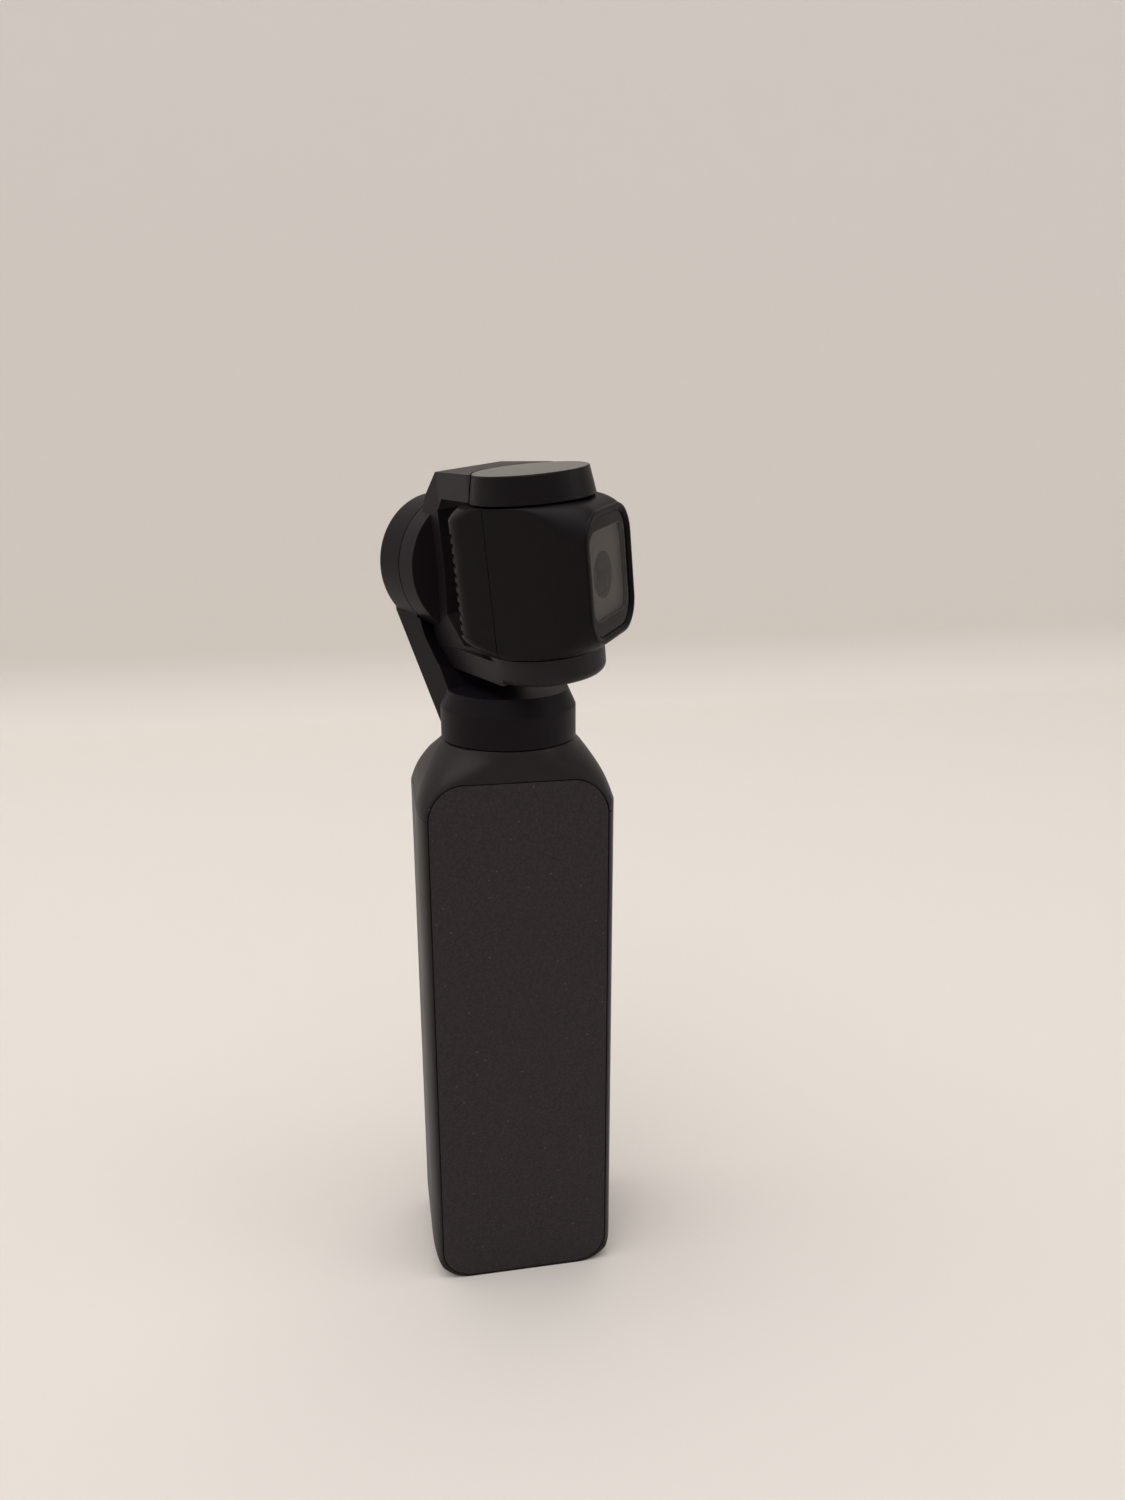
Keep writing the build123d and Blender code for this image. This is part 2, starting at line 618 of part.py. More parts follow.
def make_button_board():
    """Board behind the keys with one dome switch under each of them."""
    z = (KEY_BOARD_Z, KEY_BOARD_TOP_Z)
    board = block((-KEY_BOARD_WIDTH / 2, KEY_BOARD_WIDTH / 2), (BUTTON_BOARD_Y, BUTTON_BOARD_Y + BOARD), z)
    for z in (SHUTTER_Z, FUNCTION_Z):
        switch = Pos(0, z) * Circle(SWITCH_R)
        board += xz_plate(switch, BUTTON_BOARD_Y + BOARD / 2, SWITCH_TOP_Y)
    for x in POST_XS:
        for z in POST_ZS:
            board -= xz_plate(Pos(x, z) * Circle(SCREW_R + FIT_GAP), 0, FACE_Y)
    return board


def make_microphones():
    """Two microphones: one behind the hole under the keys, one over the hole in the base."""
    front_y = BUTTON_BOARD_Y + BOARD
    capsule = Rectangle(MIC_LENGTH, MIC_WIDTH)
    front = xz_plate(Pos(0, MIC_Z + MIC_OFFSET) * capsule, front_y, front_y + MIC_HEIGHT)
    base_y = USB_BOARD_Y + BOARD + MIC_WIDTH / 2
    base = Pos(MIC_BASE_X, base_y, FRAME_BASE_WALL) * extrude(capsule, MIC_HEIGHT)
    return Compound(children=[front, base])


def make_status_light():
    """Clear light guide pressed into the front panel above the keys."""
    return xz_plate(Pos(0, STATUS_Z) * Circle(STATUS_R), BUTTON_BOARD_Y + BOARD + FIT_GAP, FACE_Y)


def screw(length):
    """Small pan-head screw, its head above the XY plane and its shank below."""
    head = fillet(disc(SCREW_HEAD_R, 0, SCREW_HEAD).edges().group_by(Axis.Z)[-1], SCREW_EDGE_R)
    return head + disc(SCREW_R, -length, 0)


def make_frame_screws():
    """Four screws up through the crossbar hold the cap; three hold the motor flange."""
    screws = []
    length = CAP_SEAM_TOP_Z + SCREW_REACH - CROSSBAR_Z - SCREW_TIP_GAP
    for x, y in CAP_SCREWS:
        screws.append(Pos(x, y, CROSSBAR_Z) * Rot(180, 0, 0) * screw(length))
    for angle in FLANGE_SCREW_ANGLES:
        x, y = FLANGE_SCREW_R * cos(radians(angle)), FLANGE_SCREW_R * sin(radians(angle))
        sunk = FLANGE_Z + MOTOR_FLANGE - SCREW_HEAD
        screws.append(Pos(x, y, sunk) * screw(sunk - FLANGE_Z + SCREW_REACH - SCREW_TIP_GAP))
    return Compound(children=screws)


def make_board_screws():
    """Four screws hold the key board to the posts of the front panel."""
    screws = []
    for x in POST_XS:
        for z in POST_ZS:
            screws.append(Pos(x, BUTTON_BOARD_Y, z) * Rot(90, 0, 0) * screw(BOARD + 2.0))
    return Compound(children=screws)


# Motors. Each is drawn about Z from its mounting face upwards and turned into place.
def bearing(radius, bore, width):
    return disc(radius, 0, width, bore)


def bearing_pair(low, high):
    """Two ball bearings, whose outer faces stand at the two heights given."""
    upper = Pos(0, 0, high - BEARING_WIDTH) * bearing(BEARING_R, BEARING_BORE_R, BEARING_WIDTH)
    lower = Pos(0, 0, low) * bearing(BEARING_R, BEARING_BORE_R, BEARING_WIDTH)
    return Compound(children=[lower, upper])


def stator(inner, outer, low, high):
    """Wound stator: a hub with coil-wrapped teeth."""
    hub_r = inner + 1.0
    hub = disc(hub_r, low, high, inner)
    tooth_width = 2 * pi * hub_r / STATOR_TEETH * TOOTH_FILL
    for index in range(STATOR_TEETH):
        tooth = block((hub_r - FUSE, outer), (-tooth_width / 2, tooth_width / 2), (low, high))
        hub += Rot(0, 0, index * 360 / STATOR_TEETH) * tooth
    return hub & disc(outer, low, high)


NECK_BORE_R = NECK_R - MOTOR_WALL
TUBE_R = BEARING_R + BEARING_TUBE_WALL
PAN_TUBE_TOP = NECK_SEAM_Z + NECK_HEIGHT - NECK_ROOF - CLIP
PAN_SHAFT_TOP = NECK_SEAM_Z + NECK_HEIGHT - SHAFT_COVER
PAN_STATOR_LOW = FLANGE_Z + MOTOR_FLANGE + SEAT
PAN_STATOR_R = NECK_BORE_R - MAGNET - MAGNET_GAP


def make_pan_motor_base():
    """Flange screwed into the shoulder, with the tube that holds the pan bearings."""
    base = disc(MOTOR_FLANGE_R, FLANGE_Z, FLANGE_Z + MOTOR_FLANGE) + disc(TUBE_R, FLANGE_Z, PAN_TUBE_TOP)
    base -= disc(BEARING_R, FLANGE_Z - 1, PAN_TUBE_TOP + 1)
    for angle in FLANGE_SCREW_ANGLES:
        x, y = FLANGE_SCREW_R * cos(radians(angle)), FLANGE_SCREW_R * sin(radians(angle))
        base -= Pos(x, y) * disc(SCREW_R + FIT_GAP, FLANGE_Z - 1, FLANGE_Z + 3)
        head_z = FLANGE_Z + MOTOR_FLANGE - SCREW_HEAD
        base -= Pos(x, y) * disc(SCREW_HEAD_R + FIT_GAP, head_z, head_z + 3)
    return base


def make_pan_shaft():
    """Shaft of the pan motor with the retaining clip at its foot."""
    shaft = disc(SHAFT_R, FLANGE_Z - 2 * CLIP, PAN_SHAFT_TOP)
    return shaft + disc(BEARING_R - FIT_GAP, FLANGE_Z - 2 * CLIP, FLANGE_Z - CLIP / 2)


# Pan arm, drawn about the crossing of the axes
RING_LOW = NECK_SEAM_Z - ROLL_AXIS_Z
RING_TOP = RING_LOW + NECK_HEIGHT
ARM_FOOT_Z = RING_LOW + 1.2
HOUSING_FRONT = -ROLL_SEAM - SEAM_GAP
HOUSING_BORE_R = HOUSING_SEAM_R - HOUSING_WALL
HOUSING_FLOOR = -HOUSING_BACK + HOUSING_WALL
ROLL_TUBE_FRONT = HOUSING_FRONT - HOUSING_WALL
SWEEP_R = sqrt(TILT_TOP**2 + TILT_TOP_R**2)
SLANT_Z = TILT_TOP - STRAP_SLANT
SLANT_BACK = BOSS_FRONT + 0.8
SLANT_FRONT = SLANT_BACK - STRAP_SLANT


def make_sweep():
    """Room that the roll bracket sweeps, as a solid of revolution about the roll axis."""
    half = STRAP_WIDTH / 2
    slant_r = sqrt(SLANT_Z**2 + half**2) + SWEEP_GAP
    front_r = sqrt(TILT_TOP**2 + half**2) + SWEEP_GAP
    seam_r = HOUSING_SEAM_R + SWEEP_GAP
    front = SWEEP_R + SWEEP_GAP
    points = [
        (0, HOUSING_FRONT),
        (seam_r, HOUSING_FRONT),
        (seam_r, BOSS_ROOT - ROLL_SEAM - SWEEP_GAP),
        (slant_r, -SLANT_BACK - SWEEP_GAP),
        (front_r, -SLANT_FRONT - SWEEP_GAP),
        (front, 0),
        (front, front),
        (0, front),
    ]
    profile = Plane.XZ * make_face(Polyline(*points, close=True))
    return along_x(revolve(profile, Axis.Z))


def make_pan_arm():
    """Neck ring, leaning arm and roll motor housing in one moulding."""
    ring = disc(NECK_R, RING_LOW, RING_LOW + NECK_BAND)
    ring += cone(NECK_R, NECK_TOP_R, RING_LOW + NECK_BAND, RING_TOP)
    housing = along_x(cone(HOUSING_BACK_R, HOUSING_SEAM_R, -HOUSING_BACK, HOUSING_FRONT))
    housing = fillet(housing.edges().group_by(Axis.X)[0], HOUSING_EDGE_R)
    back = HOUSING_FLOOR - HOUSING_WALL / 2
    outline = [
        (back, 0),
        (back, ARM_BACK_TOP),
        (-ARM_FOOT, ARM_FOOT_Z),
        (-ARM_ROOT, ARM_FOOT_Z),
        (-ARM_ROOT, RING_TOP),
        (-ARM_TOE, RING_TOP),
        (-ARM_TOE - ARM_RISE * ARM_LEAN, RING_TOP + ARM_RISE),
        (HOUSING_FRONT, 0),
    ]
    arm = xz_plate(make_face(Polyline(*outline, close=True)), -ARM_WIDTH / 2, ARM_WIDTH / 2)
    solid = ring + arm + housing
    solid -= make_sweep()
    solid -= disc(NECK_BORE_R, RING_LOW - 1, RING_TOP - NECK_ROOF)
    solid -= disc(SHAFT_R, RING_LOW, RING_TOP - SHAFT_COVER)
    solid -= along_x(disc(HOUSING_BORE_R, HOUSING_FLOOR, HOUSING_FRONT + 1))
    tube = along_x(disc(TUBE_R, HOUSING_FLOOR - FUSE, ROLL_TUBE_FRONT, BEARING_R))
    return solid + tube


# Roll bracket and the two motors that it carries
ROTOR_R = HOUSING_BORE_R - SEAT
TILT_PLATE_R = TILT_UNDER_R - TILT_WALL - SEAT
PLATE_Z = TILT_UNDER + TILT_SEAM_GAP
PLATE_TOP = PLATE_Z + BRIDGE_THICKNESS
SMALL_TUBE_R = SMALL_BEARING_R + BEARING_TUBE_WALL
BELL_TOP = TILT_TOP - TILT_ROOF - TILT_ROOF_GAP
TILT_TUBE_TOP = BELL_TOP - TILT_BELL - TILT_ROOF_GAP
TILT_ROTOR_R = TILT_TOP_R - TILT_WALL - SEAT
IDLER_POCKET = IDLER_BOTTOM - IDLER_TOP - IDLER_EDGE_R


def tangent_point(x, y, radius):
    """Where the line from a point below X touches a circle about the tilt axis."""
    across = TILT_OFFSET - x
    distance = sqrt(across**2 + y**2)
    turn = atan2(y, -across) + acos(radius / distance)
    return (TILT_OFFSET + radius * cos(turn), radius * sin(turn))


def bracket_plan(half, end):
    """Plan of an arm: straight from the roll motor, then out to the round end that it carries."""
    near = [(-ROLL_SEAM, -half), (-SLANT_FRONT, -half), end, (TILT_OFFSET, end[1])]
    return make_face(Polyline(*near, *[(x, -y) for x, y in reversed(near)], close=True))


def make_roll_bracket():
    """Round boss, strap with slanted shoulders, top arm and lower leg with its idler ring."""
    inner = -BOSS_FRONT + STRAP_THICKNESS
    root, root_z = BOSS_ROOT - ROLL_SEAM, HOUSING_SEAM_R - STRAP_CORNER
    profile = [
        (root, -root_z),
        (-SLANT_BACK, -SLANT_Z),
        (-SLANT_FRONT, -IDLER_BOTTOM),
        (TILT_OFFSET, -IDLER_BOTTOM),
        (TILT_OFFSET, -IDLER_TOP),
        (inner + LEG_CORNER, -IDLER_TOP),
        (inner, LEG_CORNER - IDLER_TOP),
        (inner, TILT_UNDER - STRAP_CORNER),
        (inner + STRAP_CORNER, TILT_UNDER),
        (TILT_OFFSET, TILT_UNDER),
        (TILT_OFFSET, TILT_TOP),
        (-SLANT_FRONT, TILT_TOP),
        (-SLANT_BACK, SLANT_Z),
        (root, root_z),
    ]
    strap = xz_plate(make_face(Polyline(*profile, close=True)), -TILT_UNDER_R, TILT_UNDER_R)
    top_end = (TILT_OFFSET - sqrt(TILT_UNDER_R**2 - ARM_REACH**2), -ARM_REACH)
    leg_end = tangent_point(-SLANT_FRONT, -LEG_WIDTH / 2, IDLER_R)
    upper = strap & extrude(bracket_plan(STRAP_WIDTH / 2, top_end), TILT_TOP)
    leg_plan = Pos(0, 0, -IDLER_BOTTOM) * bracket_plan(LEG_WIDTH / 2, leg_end)
    lower = strap & extrude(leg_plan, IDLER_BOTTOM) & make_leg_taper()
    at_tilt = Pos(TILT_OFFSET, 0, 0)
    flare = (TILT_TOP_R - TILT_UNDER_R) / (TILT_TOP - TILT_UNDER)
    seat_r = TILT_UNDER_R + TILT_SEAM_GAP
    upper -= at_tilt * cone(seat_r - flare, TILT_TOP_R + TILT_SEAM_GAP + flare, TILT_UNDER - 1, TILT_TOP + 1)
    ring = at_tilt * disc(IDLER_R, -IDLER_BOTTOM, -IDLER_TOP)
    lower += fillet(ring.edges().group_by(Axis.Z)[0], IDLER_EDGE_R)
    bracket = upper + lower
    bracket += along_x(cone(HOUSING_SEAM_R, BOSS_FRONT_R, -ROLL_SEAM, -BOSS_FRONT))
    bridge_x = (TILT_OFFSET - TILT_UNDER_R - 1, TILT_OFFSET - TILT_PLATE_R / 2)
    bracket += block(bridge_x, (-BRIDGE_WIDTH / 2, BRIDGE_WIDTH / 2), (PLATE_Z, PLATE_TOP))
    bracket += at_tilt * disc(TILT_PLATE_R, PLATE_Z, PLATE_TOP)
    bracket += at_tilt * disc(SMALL_TUBE_R, PLATE_Z, TILT_TUBE_TOP)
    bracket -= at_tilt * disc(SMALL_BEARING_R, TILT_UNDER - 1, TILT_TUBE_TOP + 1)
    bracket -= at_tilt * disc(SMALL_BEARING_R, -IDLER_TOP - IDLER_POCKET, 1 - IDLER_TOP)
    return bracket - along_x(disc(SHAFT_R, -ROLL_SEAM - 1, -BOSS_FRONT - BOSS_FLOOR))


def make_leg_taper():
    """Front view of the lower leg: as narrow as the strap at the boss, full width at the foot."""
    narrow, wide = STRAP_WIDTH / 2, LEG_WIDTH / 2
    outline = [(-narrow, 0), (-wide, -SLANT_Z), (-IDLER_R, -SLANT_Z), (-IDLER_R, -IDLER_BOTTOM)]
    outline += [(-y, z) for y, z in reversed(outline)]
    return yz_plate(make_face(Polyline(*outline, close=True)), -ROLL_SEAM, TILT_OFFSET)


def make_roll_rotor():
    """Bell of the roll motor with its magnet ring, fixed to the back of the bracket's boss."""
    plate = disc(ROTOR_R, -ROLL_SEAM - BELL_THICKNESS, -ROLL_SEAM, SHAFT_R)
    bell = disc(ROTOR_R, HOUSING_FLOOR + 2 * SEAT, -ROLL_SEAM, ROTOR_R - MAGNET)
    return along_x(plate + bell)


def make_roll_shaft():
    return along_x(disc(SHAFT_R, HOUSING_FLOOR + SEAT, -BOSS_FRONT - BOSS_FLOOR))


def make_roll_stator():
    low = HOUSING_FLOOR + 2 * SEAT
    return along_x(stator(TUBE_R, ROTOR_R - MAGNET - MAGNET_GAP, low, low + ROLL_STATOR_HEIGHT))


def make_tilt_cap():
    """Cover of the tilt motor: a flat round top and a gently flared wall, notched for the bracket."""
    cap = cone(TILT_UNDER_R, TILT_TOP_R, TILT_UNDER, TILT_TOP)
    cap = fillet(cap.edges().group_by(Axis.Z)[-1], TILT_EDGE_R)
    cap -= cone(TILT_UNDER_R - TILT_WALL, TILT_TOP_R - TILT_WALL, TILT_UNDER, TILT_TOP - TILT_ROOF)
    half = BRIDGE_WIDTH / 2 + FIT_GAP
    notch_z = (TILT_UNDER - 1, PLATE_TOP + FIT_GAP)
    return cap - block((-TILT_UNDER_R - 1, -TILT_PLATE_R / 2), (-half, half), notch_z)


def make_tilt_stator():
    outer = TILT_ROTOR_R - TILT_MAGNET - MAGNET_GAP
    return stator(SMALL_TUBE_R, outer, PLATE_TOP, PLATE_TOP + TILT_STATOR_HEIGHT)


def make_tilt_rotor():
    """Bell of the tilt motor, hung over the stator from the top of the tilt shaft."""
    bell = disc(TILT_ROTOR_R, PLATE_TOP + SEAT, BELL_TOP, TILT_ROTOR_R - TILT_MAGNET)
    return bell + disc(TILT_ROTOR_R, BELL_TOP - TILT_BELL, BELL_TOP, SMALL_SHAFT_R)


def make_tilt_shaft():
    return disc(SMALL_SHAFT_R, CAMERA_TOP - CAMERA_WALL, BELL_TOP)


def make_idler_pin():
    return disc(SMALL_SHAFT_R, SEAT - IDLER_TOP - IDLER_POCKET, CAMERA_WALL - CAMERA_BOTTOM)


# Camera
CAMERA_TOP = TILT_UNDER - CAMERA_GAP
CAMERA_BOTTOM = IDLER_TOP - CAMERA_GAP
CAMERA_HEIGHT = CAMERA_TOP + CAMERA_BOTTOM
CAMERA_MID = (CAMERA_TOP - CAMERA_BOTTOM) / 2
HOLLOW_WIDTH = CAMERA_WIDTH - 2 * CAMERA_WALL
HOLLOW_HEIGHT = CAMERA_HEIGHT - 2 * CAMERA_WALL
HOLLOW_BACK = CAMERA_WALL - CAMERA_REAR
LENS_MID = 0.2
FRAME_X = NOSE_FRONT + LENS_FRAME_PROUD
FRAME_FACE_X = FRAME_X - LENS_RIM_DEPTH
FRAME_BACK_X = FRAME_FACE_X - LENS_FLOOR
REAR_SCREW_ZS = (CAMERA_MID - CAMERA_SCREW_OFFSET, CAMERA_MID + CAMERA_SCREW_OFFSET)


def crown_level(share, z, rear, corner, inset):
    """One level of the body's top or foot, on the way from its box section to the end given."""
    inward = share**CROWN_CURVE
    length = CAMERA_REAR + (rear - CAMERA_REAR) * inward - inset
    radius = CAMERA_EDGE_R + (corner - CAMERA_EDGE_R) * inward - inset
    return Pos(0, 0, z) * RectangleRounded(2 * length, CAMERA_WIDTH - 2 * inset, radius)


def make_crown(flat, end, rear, corner, inset):
    """Top or foot of the body behind the axis, lofted from its flat side to its end."""
    shares = [level / CROWN_LEVELS for level in range(CROWN_LEVELS + 1)]
    return loft([crown_level(share, flat + (end - flat) * share, rear, corner, inset) for share in shares])


def nose_section(x, inset):
    """One section of the front: its corners follow the round of the axis, then the lens frame."""
    share = max(0, (x - NOSE_START) / (NOSE_FRONT - NOSE_START))
    drop = share**NOSE_DROP
    half = CAMERA_WIDTH / 2
    width = CAMERA_WIDTH + (LENS_FRAME_WIDTH - CAMERA_WIDTH) * share**2 - 2 * inset
    height = CAMERA_HEIGHT + (LENS_FRAME_HEIGHT - CAMERA_HEIGHT) * drop - 2 * inset
    middle = CAMERA_MID + (LENS_MID - CAMERA_MID) * drop
    corner = half - sqrt(max(0, half**2 - x**2))
    radius = min(LENS_FRAME_R, max(CAMERA_BREAK_R, corner))
    return Pos(x, 0, 0) * (Plane.YZ * rounded(width, height, radius, 0, middle))


def make_camera_body(inset, front):
    """Camera body, or its hollow when drawn in by a wall: box, shaped top and round foot, nose."""
    top, bottom = CAMERA_TOP - inset, inset - CAMERA_BOTTOM
    flat_top, flat_bottom = CAMERA_TOP - CROWN_HEIGHT, FOOT_HEIGHT - CAMERA_BOTTOM
    half = CAMERA_WIDTH / 2
    rear = extrude(crown_level(0, flat_bottom, half, half, inset), flat_top - flat_bottom)
    rear += make_crown(flat_top, top, CROWN_REAR, CROWN_R, inset)
    rear += make_crown(flat_bottom, bottom, half, half - NECK_FLAT, inset)
    rear &= block((-CAMERA_REAR, 0), (-CAMERA_REAR, CAMERA_REAR), (bottom, top))
    steps = [level / NOSE_LEVELS for level in range(NOSE_LEVELS)]
    stations = [NOSE_START * step for step in steps]
    stations += [front - (front - NOSE_START) * step for step in reversed(steps)]
    return rear + loft([nose_section(x, inset) for x in stations])


CAMERA_BLANK = make_camera_body(0, NOSE_FRONT)


CAMERA_HOLLOW = make_camera_body(CAMERA_WALL, MASK_BACK)


def make_front_shell():
    """Front shell of the camera: its nose draws in to the rounded lens frame."""
    reach = CAMERA_HEIGHT
    shell = CAMERA_BLANK & block((CAMERA_SEAM_X, reach), (-reach, reach), (-reach, reach))
    shell -= CAMERA_HOLLOW
    shell -= yz_plate(lens_outline(LENS_LIP), NOSE_START, NOSE_FRONT + 1)
    shell -= disc(SMALL_SHAFT_R, CAMERA_TOP - CAMERA_WALL - 1, CAMERA_TOP + 1)
    shell -= disc(SMALL_SHAFT_R, -CAMERA_BOTTOM - 1, -CAMERA_BOTTOM + CAMERA_WALL + 1)
    return shell


def make_rear_shell():
    """Rear shell with a ladder of cooling slots that wrap round both rear edges."""
    reach = CAMERA_HEIGHT
    shell = CAMERA_BLANK & block((-reach, CAMERA_SEAM_X - CAP_GAP), (-reach, reach), (-reach, reach))
    shell -= CAMERA_HOLLOW
    for index in range(VENT_COUNT):
        z = CAMERA_MID + (index - (VENT_COUNT - 1) / 2) * VENT_PITCH
        slot_z = (z - VENT_HEIGHT / 2, z + VENT_HEIGHT / 2)
        shell -= block((-CAMERA_REAR - 1, -CAMERA_REAR + VENT_DEPTH), (-reach, reach), slot_z)
    for z in REAR_SCREW_ZS:
        shell -= Pos(0, 0, z) * along_x(disc(SCREW_R, -CAMERA_REAR - 1, HOLLOW_BACK + 1))
    return shell


def make_camera_screws():
    length = CAMERA_SCREW_LENGTH
    screws = [Pos(-CAMERA_REAR, 0, z) * Rot(0, -90, 0) * screw(length) for z in REAR_SCREW_ZS]
    return Compound(children=screws)


def lens_outline(inset):
    """Outline of the lens frame, drawn in by an inset."""
    width, height = LENS_FRAME_WIDTH - 2 * inset, LENS_FRAME_HEIGHT - 2 * inset
    return rounded(width, height, LENS_FRAME_R - inset, 0, LENS_MID)


def window_outline(grow):
    middle = LENS_MID - WINDOW_DROP
    return rounded(WINDOW_WIDTH + 2 * grow, WINDOW_HEIGHT + 2 * grow, WINDOW_R + grow, 0, middle)


def make_lens_frame():
    """Glossy black frame let into the nose: a proud rim that slopes in to a flat face."""
    rim = fillet(yz_plate(lens_outline(0), NOSE_FRONT, FRAME_X).edges().group_by(Axis.X)[-1], LENS_EDGE_R)
    frame = rim + yz_plate(lens_outline(LENS_LIP + FIT_GAP / 2), FRAME_BACK_X, NOSE_FRONT)
    mouth = Pos(FRAME_X, 0, 0) * (Plane.YZ * lens_outline(LENS_RIM))
    floor = Pos(FRAME_FACE_X, 0, 0) * (Plane.YZ * lens_outline(LENS_RIM + LENS_RIM_SLOPE))
    frame -= loft([floor, mouth])
    return frame - yz_plate(window_outline(0), FRAME_BACK_X - 1, FRAME_X)


def make_lens_window():
    front = FRAME_FACE_X - WINDOW_RECESS
    return yz_plate(window_outline(-FIT_GAP / 2), front - WINDOW_GLASS, front)


def make_lens_mask():
    """Inner tray behind the window, with the hole that the lens barrel comes through."""
    tray = yz_plate(lens_outline(LENS_LIP + FIT_GAP / 2), MASK_BACK, FRAME_BACK_X)
    tray -= yz_plate(window_outline(WELL_GAP), MASK_BACK + MASK_FLOOR, FRAME_BACK_X + 1)
    return tray - along_x(disc(BARREL_R + FIT_GAP / 2, 0, FRAME_X))


def make_lens_barrel():
    """Stepped lens barrel with its mounting flange on the sensor board."""
    start = SENSOR_X + BOARD
    barrel = disc(BARREL_FLANGE_R, start, start + BARREL_FLANGE) + disc(BARREL_R, start, BARREL_FRONT)
    barrel = fillet(barrel.edges().group_by(Axis.Z)[-1], BARREL_EDGE_R)
    lip = BARREL_FRONT - BARREL_LIP
    barrel -= disc(BARREL_R - BARREL_WALL, start - 1, lip - 2 * BARREL_EDGE_R)
    barrel -= cone(APERTURE_R, BARREL_R - BARREL_WALL, lip, BARREL_FRONT)
    barrel -= disc(APERTURE_R, start, lip + FUSE)
    return along_x(barrel)


def make_lens_elements():
    """Front lens and the rear group inside the barrel."""
    lip = BARREL_FRONT - BARREL_LIP
    front = disc(APERTURE_R, lip - FRONT_LENS / 2, lip + FRONT_LENS / 2)
    rear = disc(BARREL_R - BARREL_WALL, REAR_LENS_X, REAR_LENS_X + REAR_LENS)
    return Compound(children=[along_x(front), along_x(rear)])


def make_sensor_board():
    outline = rounded(HOLLOW_WIDTH - 2 * FIT_GAP, HOLLOW_HEIGHT - 2 * FIT_GAP, BOARD_CORNER_R, 0, CAMERA_MID)
    return yz_plate(outline, SENSOR_X, SENSOR_X + BOARD)


def make_image_sensor():
    front = SENSOR_X + BOARD
    return yz_plate(Rectangle(SENSOR_WIDTH, SENSOR_HEIGHT), front, front + SENSOR_THICKNESS)


def make_heatsink():
    """Finned block that carries the sensor's heat to the slots in the rear shell."""
    outline = Pos(0, CAMERA_MID) * Rectangle(HOLLOW_WIDTH - 2 * HEATSINK_SIDE_GAP, HEATSINK_HEIGHT)
    back = HOLLOW_BACK + FIT_GAP
    sink = yz_plate(outline, back, SENSOR_X)
    for index in range(HEATSINK_SLOTS):
        y = (index - (HEATSINK_SLOTS - 1) / 2) * HEATSINK_PITCH
        slot = Pos(y, CAMERA_MID) * Rectangle(HEATSINK_SLOT, HEATSINK_HEIGHT + 1)
        sink -= yz_plate(slot, back - 1, SENSOR_X - HEATSINK_BASE)
    return sink


# Assembly
parts["handle_frame"] = make_frame()
parts["shoulder_cap"] = make_shoulder_cap()
parts["back_panel"] = make_back_panel()
parts["front_panel"] = make_front_panel()
screen = rounded(SCREEN_SIZE - 2 * FIT_GAP, SCREEN_SIZE - 2 * FIT_GAP, SCREEN_CORNER_R, 0, SCREEN_Z)
parts["touchscreen_glass"] = xz_plate(screen, GLASS_BACK_Y, GLASS_FRONT_Y)
display_size = SCREEN_SIZE - 2 * DISPLAY_BORDER
display = rounded(display_size, display_size, DISPLAY_CORNER_R, 0, SCREEN_Z)
parts["display_module"] = xz_plate(display, DISPLAY_BACK_Y, GLASS_BACK_Y)
parts["shutter_button"] = make_button(SHUTTER_R, SHUTTER_Z)
parts["function_button"] = make_button(FUNCTION_R, FUNCTION_Z)
parts["port_cover"] = make_port_cover()
parts["port_contacts"] = make_port_contacts()
parts["battery_cell"] = make_battery()
parts["inner_chassis"] = make_chassis()
parts["main_board"] = make_main_board()
parts["card_socket"] = make_card_socket()
parts["usb_socket"] = make_usb_socket()
parts["usb_board"] = make_usb_board()
parts["button_board"] = make_button_board()
parts["microphones"] = make_microphones()
parts["status_light"] = make_status_light()
parts["frame_screws"] = make_frame_screws()
parts["button_board_screws"] = make_board_screws()
parts["pan_motor_base"] = make_pan_motor_base()
parts["pan_bearings"] = bearing_pair(FLANGE_Z + SEAT, PAN_TUBE_TOP - SEAT)
parts["pan_stator"] = stator(TUBE_R, PAN_STATOR_R, PAN_STATOR_LOW, PAN_STATOR_LOW + STATOR_HEIGHT)
magnet_z = NECK_SEAM_Z + SEAT
parts["pan_rotor"] = disc(NECK_BORE_R, magnet_z, magnet_z + PAN_MAGNET_HEIGHT, NECK_BORE_R - MAGNET)
parts["pan_shaft"] = make_pan_shaft()

parts["pan_arm"] = PAN_POSE * make_pan_arm()
parts["roll_stator"] = PAN_POSE * make_roll_stator()
parts["roll_bearings"] = PAN_POSE * along_x(bearing_pair(HOUSING_FLOOR + SEAT, ROLL_TUBE_FRONT))

parts["roll_bracket"] = ROLL_POSE * make_roll_bracket()
parts["roll_rotor"] = ROLL_POSE * make_roll_rotor()
parts["roll_shaft"] = ROLL_POSE * make_roll_shaft()
tilt_base = ROLL_POSE * Pos(TILT_OFFSET, 0, 0)
parts["tilt_motor_cap"] = tilt_base * make_tilt_cap()
parts["tilt_stator"] = tilt_base * make_tilt_stator()
small_bearing = bearing(SMALL_BEARING_R, SMALL_BORE_R, SMALL_BEARING_WIDTH)
parts["tilt_bearing"] = tilt_base * Pos(0, 0, PLATE_Z) * small_bearing
parts["idler_bearing"] = tilt_base * Pos(0, 0, SEAT - IDLER_TOP - IDLER_POCKET) * small_bearing

